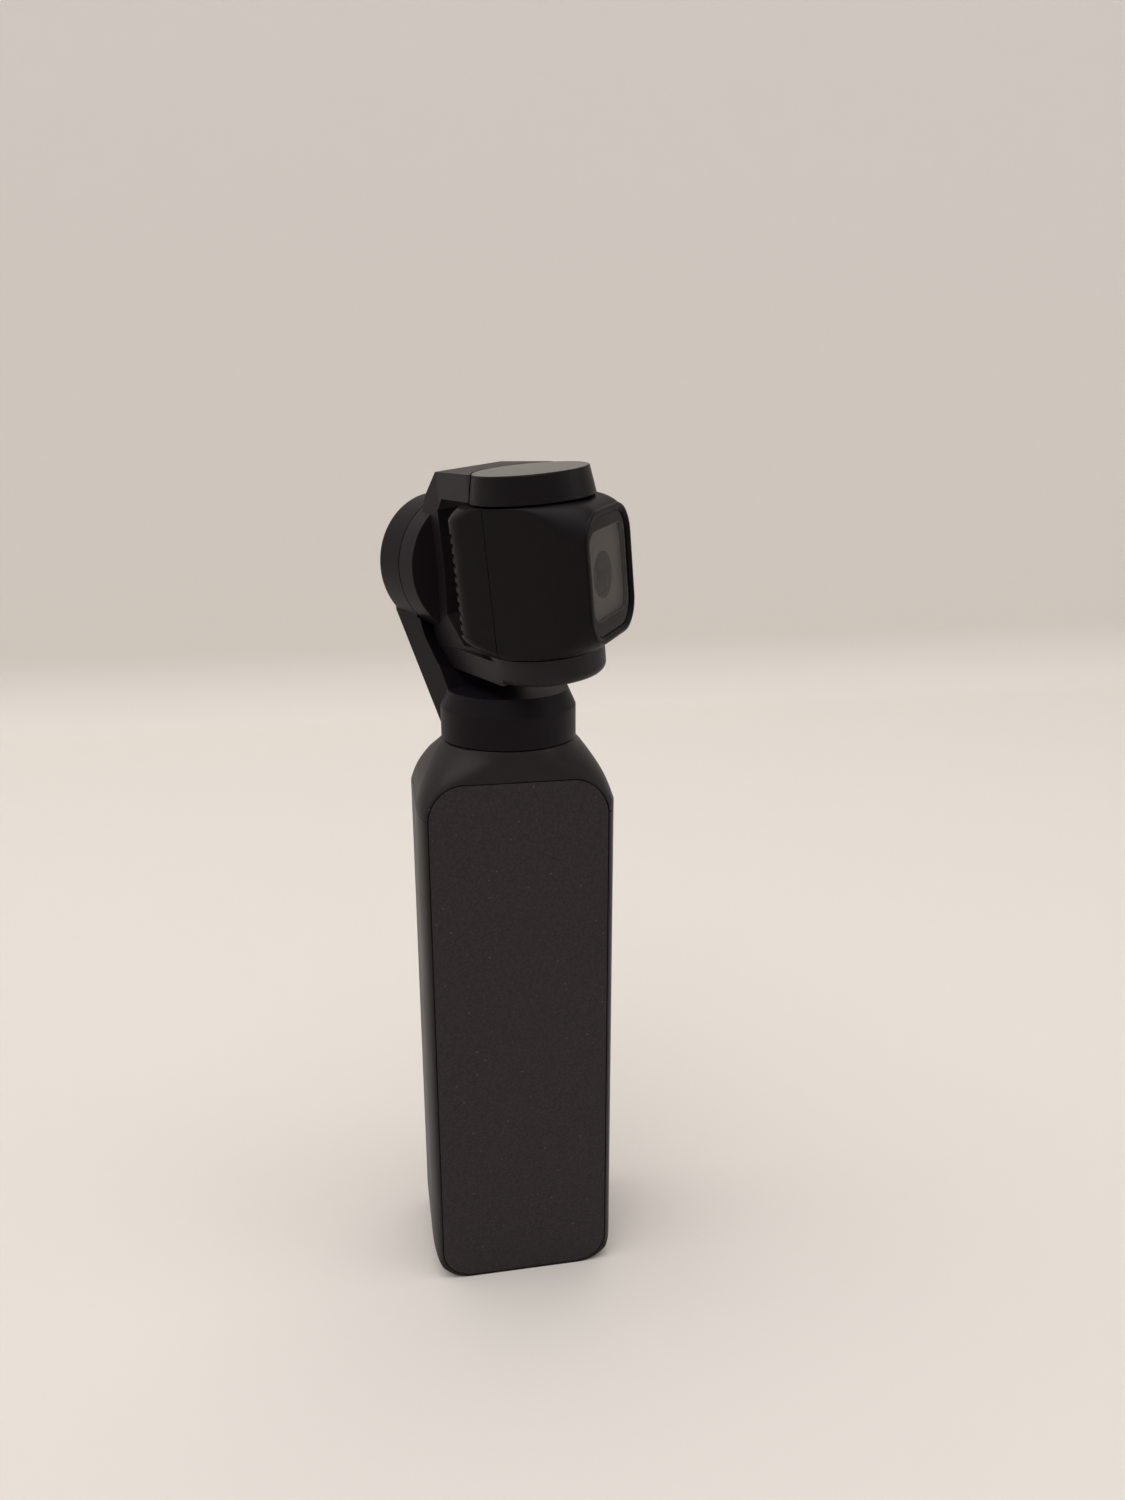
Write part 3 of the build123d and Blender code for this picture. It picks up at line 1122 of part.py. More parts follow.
parts["camera_front_shell"] = TILT_POSE * make_front_shell()
parts["camera_rear_shell"] = TILT_POSE * make_rear_shell()
parts["camera_screws"] = TILT_POSE * make_camera_screws()
parts["lens_frame"] = TILT_POSE * make_lens_frame()
parts["lens_window"] = TILT_POSE * make_lens_window()
parts["lens_mask"] = TILT_POSE * make_lens_mask()
parts["lens_barrel"] = TILT_POSE * make_lens_barrel()
parts["lens_elements"] = TILT_POSE * make_lens_elements()
parts["sensor_board"] = TILT_POSE * make_sensor_board()
parts["image_sensor"] = TILT_POSE * make_image_sensor()
parts["heatsink"] = TILT_POSE * make_heatsink()
parts["tilt_rotor"] = TILT_POSE * make_tilt_rotor()
parts["tilt_shaft"] = TILT_POSE * make_tilt_shaft()
parts["idler_pin"] = TILT_POSE * make_idler_pin()

os.makedirs("parts", exist_ok=True)
for name, shape in parts.items():
    export_step(shape, f"parts/{name}.step")
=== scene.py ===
"""Looks of the pocket gimbal camera: studio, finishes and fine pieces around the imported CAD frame."""
import json
from math import atan2, cos, pi, radians, sin

import bpy
from mathutils import Matrix, Vector

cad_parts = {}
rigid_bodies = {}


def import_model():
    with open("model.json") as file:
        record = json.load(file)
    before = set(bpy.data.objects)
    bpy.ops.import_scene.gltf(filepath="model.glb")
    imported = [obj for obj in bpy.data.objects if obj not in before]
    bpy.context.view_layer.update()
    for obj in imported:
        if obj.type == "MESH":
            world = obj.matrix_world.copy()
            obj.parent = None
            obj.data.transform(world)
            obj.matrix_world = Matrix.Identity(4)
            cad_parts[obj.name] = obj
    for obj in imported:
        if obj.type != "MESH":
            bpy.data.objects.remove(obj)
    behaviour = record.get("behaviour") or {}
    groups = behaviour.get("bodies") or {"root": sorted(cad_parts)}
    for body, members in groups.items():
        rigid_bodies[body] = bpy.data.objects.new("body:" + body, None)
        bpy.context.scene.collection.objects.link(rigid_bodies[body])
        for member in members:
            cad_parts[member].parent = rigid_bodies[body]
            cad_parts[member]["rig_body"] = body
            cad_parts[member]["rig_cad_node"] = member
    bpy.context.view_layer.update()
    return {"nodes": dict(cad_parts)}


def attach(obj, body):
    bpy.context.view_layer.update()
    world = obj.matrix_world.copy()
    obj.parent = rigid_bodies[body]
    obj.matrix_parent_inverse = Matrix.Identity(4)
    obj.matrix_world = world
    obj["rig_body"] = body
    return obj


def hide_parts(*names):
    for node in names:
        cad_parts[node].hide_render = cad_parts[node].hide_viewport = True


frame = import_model()
bpy.ops.object.select_all(action="DESELECT")

# ---- Camera
# The phone camera that took the photograph, solved from the grip's outlines and seams.
# Its 26 mm equivalent lens looks down on the grip from above the front left edge.
LENS_PLACE = Vector((-0.0205449, -0.1549963, 0.1279331))
LENS_TURN, LENS_TIP, LENS_ROLL = 0.1825, 0.2787, -0.0013
FOCAL_PIXELS, PHOTO_PIXELS, FILM_HEIGHT = 1097.63, 1500, 36.0
NEAREST, FURTHEST = 0.005, 20.0
bpy.ops.object.camera_add()
phone = bpy.context.object
phone.name = "phone_camera"
phone.matrix_world = (
    Matrix.Translation(LENS_PLACE)
    @ Matrix.Rotation(-LENS_TURN, 4, "Z")
    @ Matrix.Rotation(pi / 2 - LENS_TIP, 4, "X")
    @ Matrix.Rotation(LENS_ROLL, 4, "Z")
)
phone.data.sensor_fit = "VERTICAL"
phone.data.sensor_height = FILM_HEIGHT
phone.data.lens = FOCAL_PIXELS / PHOTO_PIXELS * FILM_HEIGHT
phone.data.clip_start, phone.data.clip_end = NEAREST, FURTHEST
bpy.context.scene.camera = phone


# ---- Studio sweep
# A sheet of pale card lies under the object and curves up behind it into a wall.
# It is matt warm white, and a painted shade darkens it a little up the wall.
def linear(hex_colour):
    """The linear colour of an sRGB hex value."""
    channels = [int(hex_colour[i : i + 2], 16) / 255 for i in (1, 3, 5)]
    curve = [c / 12.92 if c <= 0.04045 else ((c + 0.055) / 1.055) ** 2.4 for c in channels]
    return (*curve, 1.0)


def add(tree, kind, settings, links=()):
    """Adds a shader node with its properties, socket values and links, and returns it."""
    made = tree.nodes.new("ShaderNode" + kind)
    for name, value in settings.items():
        if isinstance(name, str) and hasattr(made, name):
            setattr(made, name, value)
        else:
            made.inputs[name].default_value = value
    for name, source in dict(links).items():
        tree.links.new(source, made.inputs[name])
    return made


def new_finish(name, colour, rough, **settings):
    """A material of one Principled shader, with the tree, the shader and its Object coordinates."""
    material = bpy.data.materials.new(name)
    material.use_nodes = True
    tree = material.node_tree
    shader = tree.nodes["Principled BSDF"]
    shader.inputs["Base Color"].default_value = linear(colour)
    shader.inputs["Roughness"].default_value = rough
    for socket, value in settings.items():
        shader.inputs[socket.replace("_", " ")].default_value = value
    place = add(tree, "TexCoord", {}).outputs["Object"]
    return material, tree, shader, place


SWEEP_WIDTH, SWEEP_DEPTH, SWEEP_BACK, WALL_TOP = 4.0, 2.4, 0.375, 1.3
BEND_R, BEND_STEPS, NEARBY = 0.03, 32, 0.001
bpy.ops.mesh.primitive_plane_add(size=1, location=(0, 0, 0))
sweep = bpy.context.object
sweep.name = "studio_sweep"
sweep.scale = (SWEEP_WIDTH, SWEEP_DEPTH, 1.0)
sweep.location = (0, SWEEP_BACK - SWEEP_DEPTH / 2, 0)
bpy.ops.object.transform_apply(location=True, rotation=True, scale=True)
bpy.ops.object.mode_set(mode="EDIT")
bpy.ops.mesh.select_mode(type="EDGE")
bpy.ops.mesh.select_all(action="DESELECT")
bpy.ops.object.mode_set(mode="OBJECT")
for edge in sweep.data.edges:
    edge.select = all(sweep.data.vertices[v].co.y > SWEEP_BACK - NEARBY for v in edge.vertices)
bpy.ops.object.mode_set(mode="EDIT")
bpy.ops.mesh.extrude_region_move(TRANSFORM_OT_translate={"value": (0, 0, WALL_TOP)})
bpy.ops.mesh.select_all(action="DESELECT")
bpy.ops.object.mode_set(mode="OBJECT")
for edge in sweep.data.edges:
    ends = [sweep.data.vertices[v].co for v in edge.vertices]
    edge.select = all(end.y > SWEEP_BACK - NEARBY and end.z < NEARBY for end in ends)
bpy.ops.object.mode_set(mode="EDIT")
bpy.ops.mesh.bevel(offset=BEND_R, segments=BEND_STEPS, profile=0.5)
bpy.ops.object.mode_set(mode="OBJECT")
bpy.ops.object.shade_smooth()

# Uncoated card: next to no sheen, and a slow painted shade that darkens it up the wall.
FLAT_CARD, UPRIGHT_CARD_SHADED, WALL_SHADE_RISE = "#e9e4df", "#e4e0dc", 0.3
card, tree, shader, place = new_finish("matt_card", FLAT_CARD, 0.95, Specular_IOR_Level=0.1)
height = add(tree, "SeparateXYZ", {}, {"Vector": place}).outputs["Z"]
rise = add(tree, "MapRange", {"From Min": 0.0, "From Max": WALL_SHADE_RISE}, {"Value": height})
# Painted shade: the card's colour darkens from the floor up the wall.
wall_shade = add(tree, "Mix", {"data_type": "RGBA", 6: linear(FLAT_CARD), 7: linear(UPRIGHT_CARD_SHADED)},
           {0: rise.outputs[0]})
tree.links.new(wall_shade.outputs[2], shader.inputs["Base Color"])
sweep.data.materials.append(card)

# ---- Studio light
# One wide softbox hangs over the table, and a small weak one stands at either side.
# The pale room fills the shadows, and the camera, mirrors and glass see it about twice as bright.
SOFT_WHITE, ROOM_WHITE = linear("#fffdfa"), linear("#f2eeea")
ROOM_FILL, ROOM_SEEN = 0.3, 0.62
world = bpy.data.worlds.new("pale_room")
bpy.context.scene.world = world
world.use_nodes = True
tree = world.node_tree
room = tree.nodes["Background"]
room.inputs["Color"].default_value = ROOM_WHITE
ray = add(tree, "LightPath", {})
mirrored = add(tree, "Math", {"operation": "MAXIMUM"},
               {0: ray.outputs["Is Camera Ray"], 1: ray.outputs["Is Glossy Ray"]})
seen = add(tree, "Math", {"operation": "MAXIMUM"},
           {0: mirrored.outputs[0], 1: ray.outputs["Is Transmission Ray"]})
level = add(tree, "MapRange", {"To Min": ROOM_FILL, "To Max": ROOM_SEEN},
            {"Value": seen.outputs[0]})
tree.links.new(level.outputs[0], room.inputs["Strength"])


def softbox(name, place, aim, size, power):
    """A square area lamp at a place, turned to an aim point."""
    bpy.ops.object.light_add(type="AREA", location=place)
    lamp = bpy.context.object
    lamp.name = name
    lamp.rotation_euler = (Vector(aim) - Vector(place)).to_track_quat("-Z", "Y").to_euler()
    lamp.data.shape = "SQUARE"
    lamp.data.size = size
    lamp.data.energy = power
    lamp.data.color = SOFT_WHITE[:3]


softbox("overhead_softbox", (-0.2, -0.1, 1.25), (0, 0, 0), 1.5, 15.0)
softbox("left_softbox", (-0.9, 0.1, 0.35), (0, 0, 0.07), 0.6, 0.5)
softbox("right_softbox", (0.8, -0.25, 0.3), (0, 0, 0.09), 0.5, 1.1)

# ---- Grip frame
# The grip's body is one injection moulding of PC/ABS in charcoal, open to the front and back.
# Its mould is spark-eroded, which leaves a fine even tooth of about 0.15 mm on the surface.
MM_PER_M, GLOSS_PATCHES_PER_M, TOOTH_STRENGTH = 1000, 90.0, 0.6


def dress(material, *names):
    """Gives CAD nodes their finish."""
    for name in names:
        frame["nodes"][name].material_slots[0].material = material


def moulded_plastic(name, colour, rough, tooth_mm, tooth_depth_mm, gloss_swing=0.06, **settings):
    """Moulded or sprayed plastic: a fine tooth, and gloss that shifts a little between patches."""
    material, tree, shader, place = new_finish(name, colour, rough, **settings)
    tooth = add(tree, "TexNoise", {"Scale": MM_PER_M / tooth_mm, "Detail": 3.0}, {"Vector": place})
    patches = add(tree, "TexNoise", {"Scale": GLOSS_PATCHES_PER_M, "Detail": 2.0},
                  {"Vector": place})
    gloss = add(tree, "MapRange", {"To Min": rough - gloss_swing, "To Max": rough + gloss_swing},
                {"Value": patches.outputs[0]})
    relief = add(tree, "Bump", {"Strength": TOOTH_STRENGTH, "Distance": tooth_depth_mm / MM_PER_M},
                 {"Height": tooth.outputs[0]})
    tree.links.new(gloss.outputs[0], shader.inputs["Roughness"])
    tree.links.new(relief.outputs[0], shader.inputs["Normal"])
    return material


# Spark-textured PC/ABS: soft charcoal that turns grey, without a glint, where light grazes it.
spark_charcoal = moulded_plastic("spark_textured_pc_abs", "#1e191a", 0.45, 0.15, 0.012,
                                 Specular_IOR_Level=0.2)
dress(spark_charcoal, "handle_frame", "shoulder_cap")

# ---- Shoulder
# A separate moulding in the frame's plastic closes its top and draws in to the round neck.
# Its front runs into its sides in one soft sweep, cut here from a copy of the CAD cap by a dome.
SHOULDER_LOW, SHOULDER_HIGH = 0.0776, 0.0857
HALF_GRIP, HALF_NECK_WIDTH, HALF_DEPTH, NECK_R = 0.0143, 0.00935, 0.0105, 0.00987
WIDTH_POWER, DEPTH_POWER, CLEARANCE = 1.3, 1.2, 0.00004
ROUND, BOXY, FLARE_BELOW, SAME_LEVEL = 2, 12, 1.05, 0.0001
DOME_LENGTH, DOME_MIDDLE, DOME_RINGS, RING_POINTS = 0.03, 0.08, 18, 160
WELD, SHOULDER_CREASE = 0.000005, 28
bpy.ops.mesh.primitive_cylinder_add(vertices=RING_POINTS, radius=1.0, depth=DOME_LENGTH,
                                    location=(0, 0, DOME_MIDDLE), end_fill_type="NGON")
dome = bpy.context.object
bpy.ops.object.transform_apply(location=True, rotation=True, scale=True)
bpy.ops.object.mode_set(mode="EDIT")
for ring in range(DOME_RINGS + 1):
    level_share = sin(ring / DOME_RINGS * pi / 2)
    ring_z = SHOULDER_LOW + (SHOULDER_HIGH - SHOULDER_LOW) * level_share
    bpy.ops.mesh.select_all(action="SELECT")
    bpy.ops.mesh.bisect(plane_co=(0, 0, ring_z), plane_no=(0, 0, 1))
bpy.ops.object.mode_set(mode="OBJECT")
for vertex in dome.data.vertices:
    share = (vertex.co.z - SHOULDER_LOW) / (SHOULDER_HIGH - SHOULDER_LOW)
    share = min(max(share, 0.0), 1.0)
    width_in = 1 - (1 - share**WIDTH_POWER) ** (1 / WIDTH_POWER)
    depth_in = 1 - (1 - share**DEPTH_POWER) ** (1 / DEPTH_POWER)
    half_width = HALF_GRIP + (HALF_NECK_WIDTH - HALF_GRIP) * width_in + CLEARANCE
    half_depth = HALF_DEPTH + (NECK_R - HALF_DEPTH) * depth_in + CLEARANCE
    squareness = ROUND + BOXY * (1 - share) ** 2
    turn = atan2(vertex.co.y, vertex.co.x)
    x, y = cos(turn), sin(turn)
    vertex.co.x = half_width * abs(x) ** (2 / squareness) * (1 if x > 0 else -1)
    vertex.co.y = half_depth * abs(y) ** (2 / squareness) * (1 if y > 0 else -1)
    if vertex.co.z < SHOULDER_LOW + SAME_LEVEL:
        vertex.co.x, vertex.co.y = vertex.co.x * FLARE_BELOW, vertex.co.y * FLARE_BELOW
bpy.ops.object.select_all(action="DESELECT")
shoulder = frame["nodes"]["shoulder_cap"].copy()
shoulder.data = shoulder.data.copy()
shoulder.name = "soft_shoulder"
shoulder.parent = None
bpy.context.scene.collection.objects.link(shoulder)
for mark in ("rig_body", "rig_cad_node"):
    del shoulder[mark]
bpy.context.view_layer.objects.active = shoulder
shoulder.select_set(True)
bpy.ops.object.mode_set(mode="EDIT")
bpy.ops.mesh.select_all(action="SELECT")
bpy.ops.mesh.customdata_custom_splitnormals_clear()
bpy.ops.mesh.remove_doubles(threshold=WELD)
bpy.ops.object.mode_set(mode="OBJECT")
shave = shoulder.modifiers.new("soft sweep", "BOOLEAN")
shave.operation, shave.solver, shave.object = "INTERSECT", "EXACT", dome
bpy.ops.object.modifier_apply(modifier=shave.name)
bpy.ops.object.shade_smooth_by_angle(angle=radians(SHOULDER_CREASE))
bpy.data.objects.remove(dome)
shoulder.material_slots[0].material = spark_charcoal
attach(shoulder, "grip")
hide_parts("shoulder_cap")

# ---- Insides
# Circuit boards, cell, chassis, sockets, motors and screws, each in the metal or laminate that
# it is made of. Little of this shows from outside, and each has its own finish for a cutaway.
# Green solder mask on fibreglass: a glossy lacquer, and a lighter green where copper lies under it.
SOLDER_MASK, MASK_ON_COPPER, TRACES_PER_M = "#12402a", "#1f5c3c", 900.0
TRACE_STARTS, TRACE_FULL = 0.6, 0.7
board, tree, shader, place = new_finish("solder_mask_fr4", SOLDER_MASK, 0.35)
layout = add(tree, "TexWave", {"Scale": TRACES_PER_M, "Distortion": 1.5}, {"Vector": place})
trace = add(tree, "MapRange", {"From Min": TRACE_STARTS, "From Max": TRACE_FULL},
            {"Value": layout.outputs[1]})
copper = add(tree, "Mix", {"data_type": "RGBA", 6: linear(SOLDER_MASK), 7: linear(MASK_ON_COPPER)},
             {0: trace.outputs[0]})
tree.links.new(copper.outputs[2], shader.inputs["Base Color"])
dress(board, "main_board", "usb_board", "button_board", "sensor_board")

RIDGE_SCALE, RIDGE_STRENGTH, RIDGE_DEPTH = 160, 0.3, 0.00001
RIDGE_BRIGHT, RIDGE_DULL = 0.8, 1.25


def machined_metal(name, colour, rough, ridge_mm, direction="Z"):
    """Metal with the fine ridges that drawing, turning or winding leaves on it."""
    material, tree, shader, place = new_finish(name, colour, rough, Metallic=1.0)
    ridges = add(tree, "TexWave", {"Scale": RIDGE_SCALE / ridge_mm, "Distortion": 2.0,
                                   "Detail": 2.0, "bands_direction": direction},
                 {"Vector": place})
    gloss = add(tree, "MapRange", {"To Min": rough * RIDGE_BRIGHT, "To Max": rough * RIDGE_DULL},
                {"Value": ridges.outputs[1]})
    relief = add(tree, "Bump", {"Strength": RIDGE_STRENGTH, "Distance": RIDGE_DEPTH},
                 {"Height": ridges.outputs[1]})
    tree.links.new(gloss.outputs[0], shader.inputs["Roughness"])
    tree.links.new(relief.outputs[0], shader.inputs["Normal"])
    return material


# Stamped and cast parts look dull, ground and turned ones bright, and copper and gold warm.
stamped_chassis = machined_metal("stamped_aluminium", "#b9b9bd", 0.45, 0.4)
drawn_steel = machined_metal("drawn_stainless_steel", "#b5b4b2", 0.3, 0.3)
ground_steel = machined_metal("ground_bearing_steel", "#c3c3c5", 0.18, 0.2)
turned_steel = machined_metal("turned_steel_shaft", "#b8b8bb", 0.25, 0.2)
black_screw = machined_metal("black_zinc_steel", "#2b2b2d", 0.35, 0.15)
copper_winding = machined_metal("enamelled_copper", "#b5672f", 0.3, 0.25)
nickel_magnet = machined_metal("nickel_plated_magnet", "#c9c6c0", 0.15, 0.5)
cast_sink = machined_metal("cast_aluminium", "#8d8e91", 0.5, 0.6)
gold_contact = machined_metal("gold_plated_contact", "#e0b765", 0.2, 0.2)
cell_foil = machined_metal("cell_pouch_foil", "#9a9ca0", 0.35, 0.8, "X")
dress(stamped_chassis, "inner_chassis")
dress(drawn_steel, "usb_socket", "card_socket", "pan_motor_base")
dress(ground_steel, "pan_bearings", "roll_bearings", "tilt_bearing", "idler_bearing")
dress(turned_steel, "pan_shaft", "roll_shaft", "tilt_shaft", "idler_pin")
dress(black_screw, "frame_screws", "button_board_screws", "camera_screws")
dress(copper_winding, "pan_stator", "roll_stator", "tilt_stator")
dress(nickel_magnet, "pan_rotor", "roll_rotor", "tilt_rotor")
dress(cast_sink, "heatsink")
dress(gold_contact, "port_contacts")
dress(cell_foil, "battery_cell")

# ---- Back and front panels
# Two panels are pressed into the frame, faced with soft-touch skin embossed like fine leather.
# The grain's cells are about 0.4 mm across. A few worn peaks on them carry a painted highlight.
SKIN, SKIN_PIT_SHADE, SKIN_PEAK_LIGHT, WORN_PEAK_GLINT = "#2e2829", "#292425", "#322c2d", "#544d4c"
CELLS_PER_MM, PORES_PER_MM, WANDERS_PER_MM, SPECKS_PER_MM = 2.5, 2.3, 0.7, 0.9
CELL_WANDER, PORE_SHARE, GRAIN_DEPTH, GRAIN_STRENGTH = 0.001, 0.9, 0.00008, 0.8
PEAK_GRAIN, PIT_GRAIN, SPECK_CORE, SPECK_EDGE, WORN_GLINT_SHARE = 0.65, 1.15, 0.04, 0.16, 0.2
# Embossed polyurethane skin: a flat warm black with hardly any sheen. Painted shade darkens
# the pits and painted light brightens the peaks.
skin, tree, shader, place = new_finish("embossed_soft_touch_skin", SKIN, 0.6,
                                       Specular_IOR_Level=0.22)
wander = add(tree, "TexNoise", {"Scale": WANDERS_PER_MM * MM_PER_M, "Detail": 2.0},
             {"Vector": place})
shift = add(tree, "VectorMath", {"operation": "MULTIPLY_ADD", 1: (CELL_WANDER,) * 3},
            {0: wander.outputs[1], 2: place})
cells = add(tree, "TexVoronoi", {"Scale": CELLS_PER_MM * MM_PER_M, "feature": "SMOOTH_F1",
                                 "Smoothness": 0.3}, {"Vector": shift.outputs[0]})
pores = add(tree, "TexNoise", {"Scale": PORES_PER_MM * MM_PER_M, "Detail": 3.0,
                               "Roughness": 0.65}, {"Vector": place})
grain = add(tree, "Math", {"operation": "MULTIPLY_ADD", 1: PORE_SHARE},
            {0: pores.outputs[0], 2: cells.outputs[0]})
relief = add(tree, "Bump", {"Strength": GRAIN_STRENGTH, "Distance": GRAIN_DEPTH, "invert": True},
             {"Height": grain.outputs[0]})
# Painted shade and light: the pits get a darker tone and the peaks a lighter one.
depth = add(tree, "MapRange", {"From Min": PEAK_GRAIN, "From Max": PIT_GRAIN},
            {"Value": grain.outputs[0]})
ground = add(tree, "Mix", {"data_type": "RGBA", 6: linear(SKIN_PEAK_LIGHT), 7: linear(SKIN_PIT_SHADE)},
             {0: depth.outputs[0]})
# Painted highlight: a pale speck on a fifth of the cells stands for worn peaks catching light.
specks = add(tree, "TexVoronoi", {"Scale": SPECKS_PER_MM * MM_PER_M, "Randomness": 1.0},
             {"Vector": place})
peak = add(tree, "MapRange", {"From Min": SPECK_CORE, "From Max": SPECK_EDGE,
                              "To Min": 1.0, "To Max": 0.0}, {"Value": specks.outputs[0]})
lot = add(tree, "SeparateColor", {}, {0: specks.outputs[1]})
chosen = add(tree, "Math", {"operation": "GREATER_THAN", 1: 1 - WORN_GLINT_SHARE}, {0: lot.outputs[0]})
worn_glint = add(tree, "Math", {"operation": "MULTIPLY"}, {0: peak.outputs[0], 1: chosen.outputs[0]})
shade = add(tree, "Mix", {"data_type": "RGBA", 7: linear(WORN_PEAK_GLINT)},
            {0: worn_glint.outputs[0], 6: ground.outputs[2]})
tree.links.new(shade.outputs[2], shader.inputs["Base Color"])
tree.links.new(relief.outputs[0], shader.inputs["Normal"])
dress(skin, "back_panel", "front_panel")

# ---- Screen
# A square touch screen behind polished black cover glass, let into the front panel.
# The display laminated under it is switched off.
# Cover glass gives deep black with a clear mirror image, and the laminate a dull dark grey.
screen_glass = moulded_plastic("aluminosilicate_cover_glass", "#08080a", 0.06, 6.0, 0.001, 0.02,
                               Coat_Weight=0.5)
screen_module = moulded_plastic("display_laminate", "#101114", 0.25, 2.0, 0.002)
dress(screen_glass, "touchscreen_glass")
dress(screen_module, "display_module")

# ---- Buttons, light guide and microphones
# Moulded keys and a sliding cover with a satin face, and a clear guide over the status lamp.
# The microphone cans behind the panel share the keys' dark finish.
# Satin ABS: dark grey, and a touch glossier than the skin around it.
key_plastic = moulded_plastic("satin_key_abs", "#262425", 0.36, 0.2, 0.008)
dress(key_plastic, "shutter_button", "function_button", "port_cover", "microphones")
# Clear acrylic, lightly frosted: a small milky dot in the skin.
FROST_PER_MM, FROST_CLEAR, FROST_DULL = 3.0, 0.08, 0.25
light_guide, tree, shader, place = new_finish("clear_pmma_light_guide", "#f4f2ea", 0.12,
                                              Transmission_Weight=0.8, IOR=1.49)
frost = add(tree, "TexNoise", {"Scale": FROST_PER_MM * MM_PER_M}, {"Vector": place})
haze = add(tree, "MapRange", {"To Min": FROST_CLEAR, "To Max": FROST_DULL},
           {"Value": frost.outputs[0]})
tree.links.new(haze.outputs[0], shader.inputs["Roughness"])
dress(light_guide, "status_light")

# ---- Gimbal shells
# The pan arm, roll bracket and camera shells are moulded and sprayed satin black.
# The paint is smoother than the grip: nearly black face on, and paler where it picks up the
# wall at a grazing angle. The arm and the bracket have lighter copies of the same paint,
# painted light that stands in for light on their shaded faces.
PAINT = "#130f12"
satin_shell = moulded_plastic("satin_painted_pc", PAINT, 0.45, 0.25, 0.004,
                              Specular_IOR_Level=0.1)
# Painted light: the arm's coat is a lighter copy of the shells' paint.
arm_satin_painted_light = moulded_plastic("satin_paint_arm_painted_light", "#161217", 0.45, 0.25, 0.004,
                            Specular_IOR_Level=0.08)
# Painted light: the bracket's coat is lighter still, for its shaded boss and ring.
bracket_satin_painted_light = moulded_plastic("satin_paint_bracket_painted_light", "#221d21", 0.45, 0.25, 0.004,
                                Specular_IOR_Level=0.15)
dress(satin_shell, "camera_front_shell", "camera_rear_shell")
dress(arm_satin_painted_light, "pan_arm")
dress(bracket_satin_painted_light, "roll_bracket")

# ---- Tilt motor cap
# A round cap over the tilt motor, moulded and sprayed like the shells, with a burnished top.
# The smoother top mirrors the pale wall when it is seen at a low angle.
TILT_AXIS, CAP_FLAT, FLAT_BLEND = (-0.096253, -0.052697, 0.993961), 0.12322, 0.00003
SATIN_ROUGH, BURNISHED_ROUGH = 0.45, 0.2
SPRAY_PER_MM, SPRAY_STRENGTH, SPRAY_DEPTH = 4.0, 0.4, 0.000002
capped, tree, shader, place = new_finish("burnished_cap_paint", PAINT, SATIN_ROUGH,
                                         Specular_IOR_Level=0.1)
up = add(tree, "VectorMath", {"operation": "DOT_PRODUCT", 1: TILT_AXIS}, {0: place})
on_flat = add(tree, "MapRange", {"From Min": CAP_FLAT - FLAT_BLEND, "From Max": CAP_FLAT,
                                 "To Min": SATIN_ROUGH, "To Max": BURNISHED_ROUGH},
              {"Value": up.outputs["Value"]})
spray = add(tree, "TexNoise", {"Scale": SPRAY_PER_MM * MM_PER_M, "Detail": 3.0},
            {"Vector": place})
relief = add(tree, "Bump", {"Strength": SPRAY_STRENGTH, "Distance": SPRAY_DEPTH},
             {"Height": spray.outputs[0]})
tree.links.new(on_flat.outputs[0], shader.inputs["Roughness"])
tree.links.new(relief.outputs[0], shader.inputs["Normal"])
dress(capped, "tilt_motor_cap")

# ---- Lens frame
# A bezel of black polycarbonate closes the camera's nose around the window.
# Its rim is stepped down to the glass in two fine ledges, and a spigot behind it enters the shell.
TILT_CENTRE, TILT_AT_REST = Vector((0.0037457, -0.0068417, 0.1098)), 26.5
ROLL_AXIS = Vector((0.4802235, -0.8771462, 0.0))
FORWARD = Matrix.Rotation(radians(TILT_AT_REST), 3, TILT_AXIS) @ ROLL_AXIS
ACROSS = Vector(TILT_AXIS).cross(FORWARD)
CAMERA_TURN = Matrix((ACROSS, TILT_AXIS, FORWARD)).transposed().to_4x4()
CAMERA_AXES = Matrix.Translation(TILT_CENTRE) @ CAMERA_TURN
NOSE_MIDDLE, CORNER_STEPS, FACING, NOSE_CREASE = 0.0002, 14, 0.9, 32


def rounded_block(name, width, height, corner_r, back, front):
    """A block across the nose with rounded corners, from back to front along the camera's sight."""
    bpy.ops.object.select_all(action="DESELECT")
    bpy.ops.mesh.primitive_cube_add(size=1, location=(0, NOSE_MIDDLE, (back + front) / 2))
    block = bpy.context.object
    block.name = name
    block.scale = (width, height, front - back)
    bpy.ops.object.transform_apply(location=True, rotation=True, scale=True)
    bpy.ops.object.mode_set(mode="EDIT")
    bpy.ops.mesh.select_mode(type="EDGE")
    bpy.ops.mesh.select_all(action="DESELECT")
    bpy.ops.object.mode_set(mode="OBJECT")
    for edge in block.data.edges:
        ends = [block.data.vertices[v].co for v in edge.vertices]
        edge.select = abs(ends[0].z - ends[1].z) > (front - back) / 2
    bpy.ops.object.mode_set(mode="EDIT")
    bpy.ops.mesh.bevel(offset=corner_r, segments=CORNER_STEPS, profile=0.5)
    bpy.ops.mesh.select_mode(type="FACE")
    bpy.ops.mesh.select_all(action="DESELECT")
    bpy.ops.object.mode_set(mode="OBJECT")
    return block


def select_end(block, forward):
    """Selects only the block's front face, for forward 1, or its back face, for -1."""
    for face in block.data.polygons:
        face.select = False
    ends = [face for face in block.data.polygons if face.normal.z * forward > FACING]
    outermost = max(ends, key=lambda face: (len(face.vertices), face.center.z * forward))
    outermost.select = True


def turn_to_nose(piece):
    """Carries a piece that was made at the origin to the camera's nose."""
    bpy.ops.object.select_all(action="DESELECT")
    bpy.context.view_layer.objects.active = piece
    piece.select_set(True)
    piece.matrix_world = CAMERA_AXES
    bpy.ops.object.transform_apply(location=True, rotation=True, scale=True)


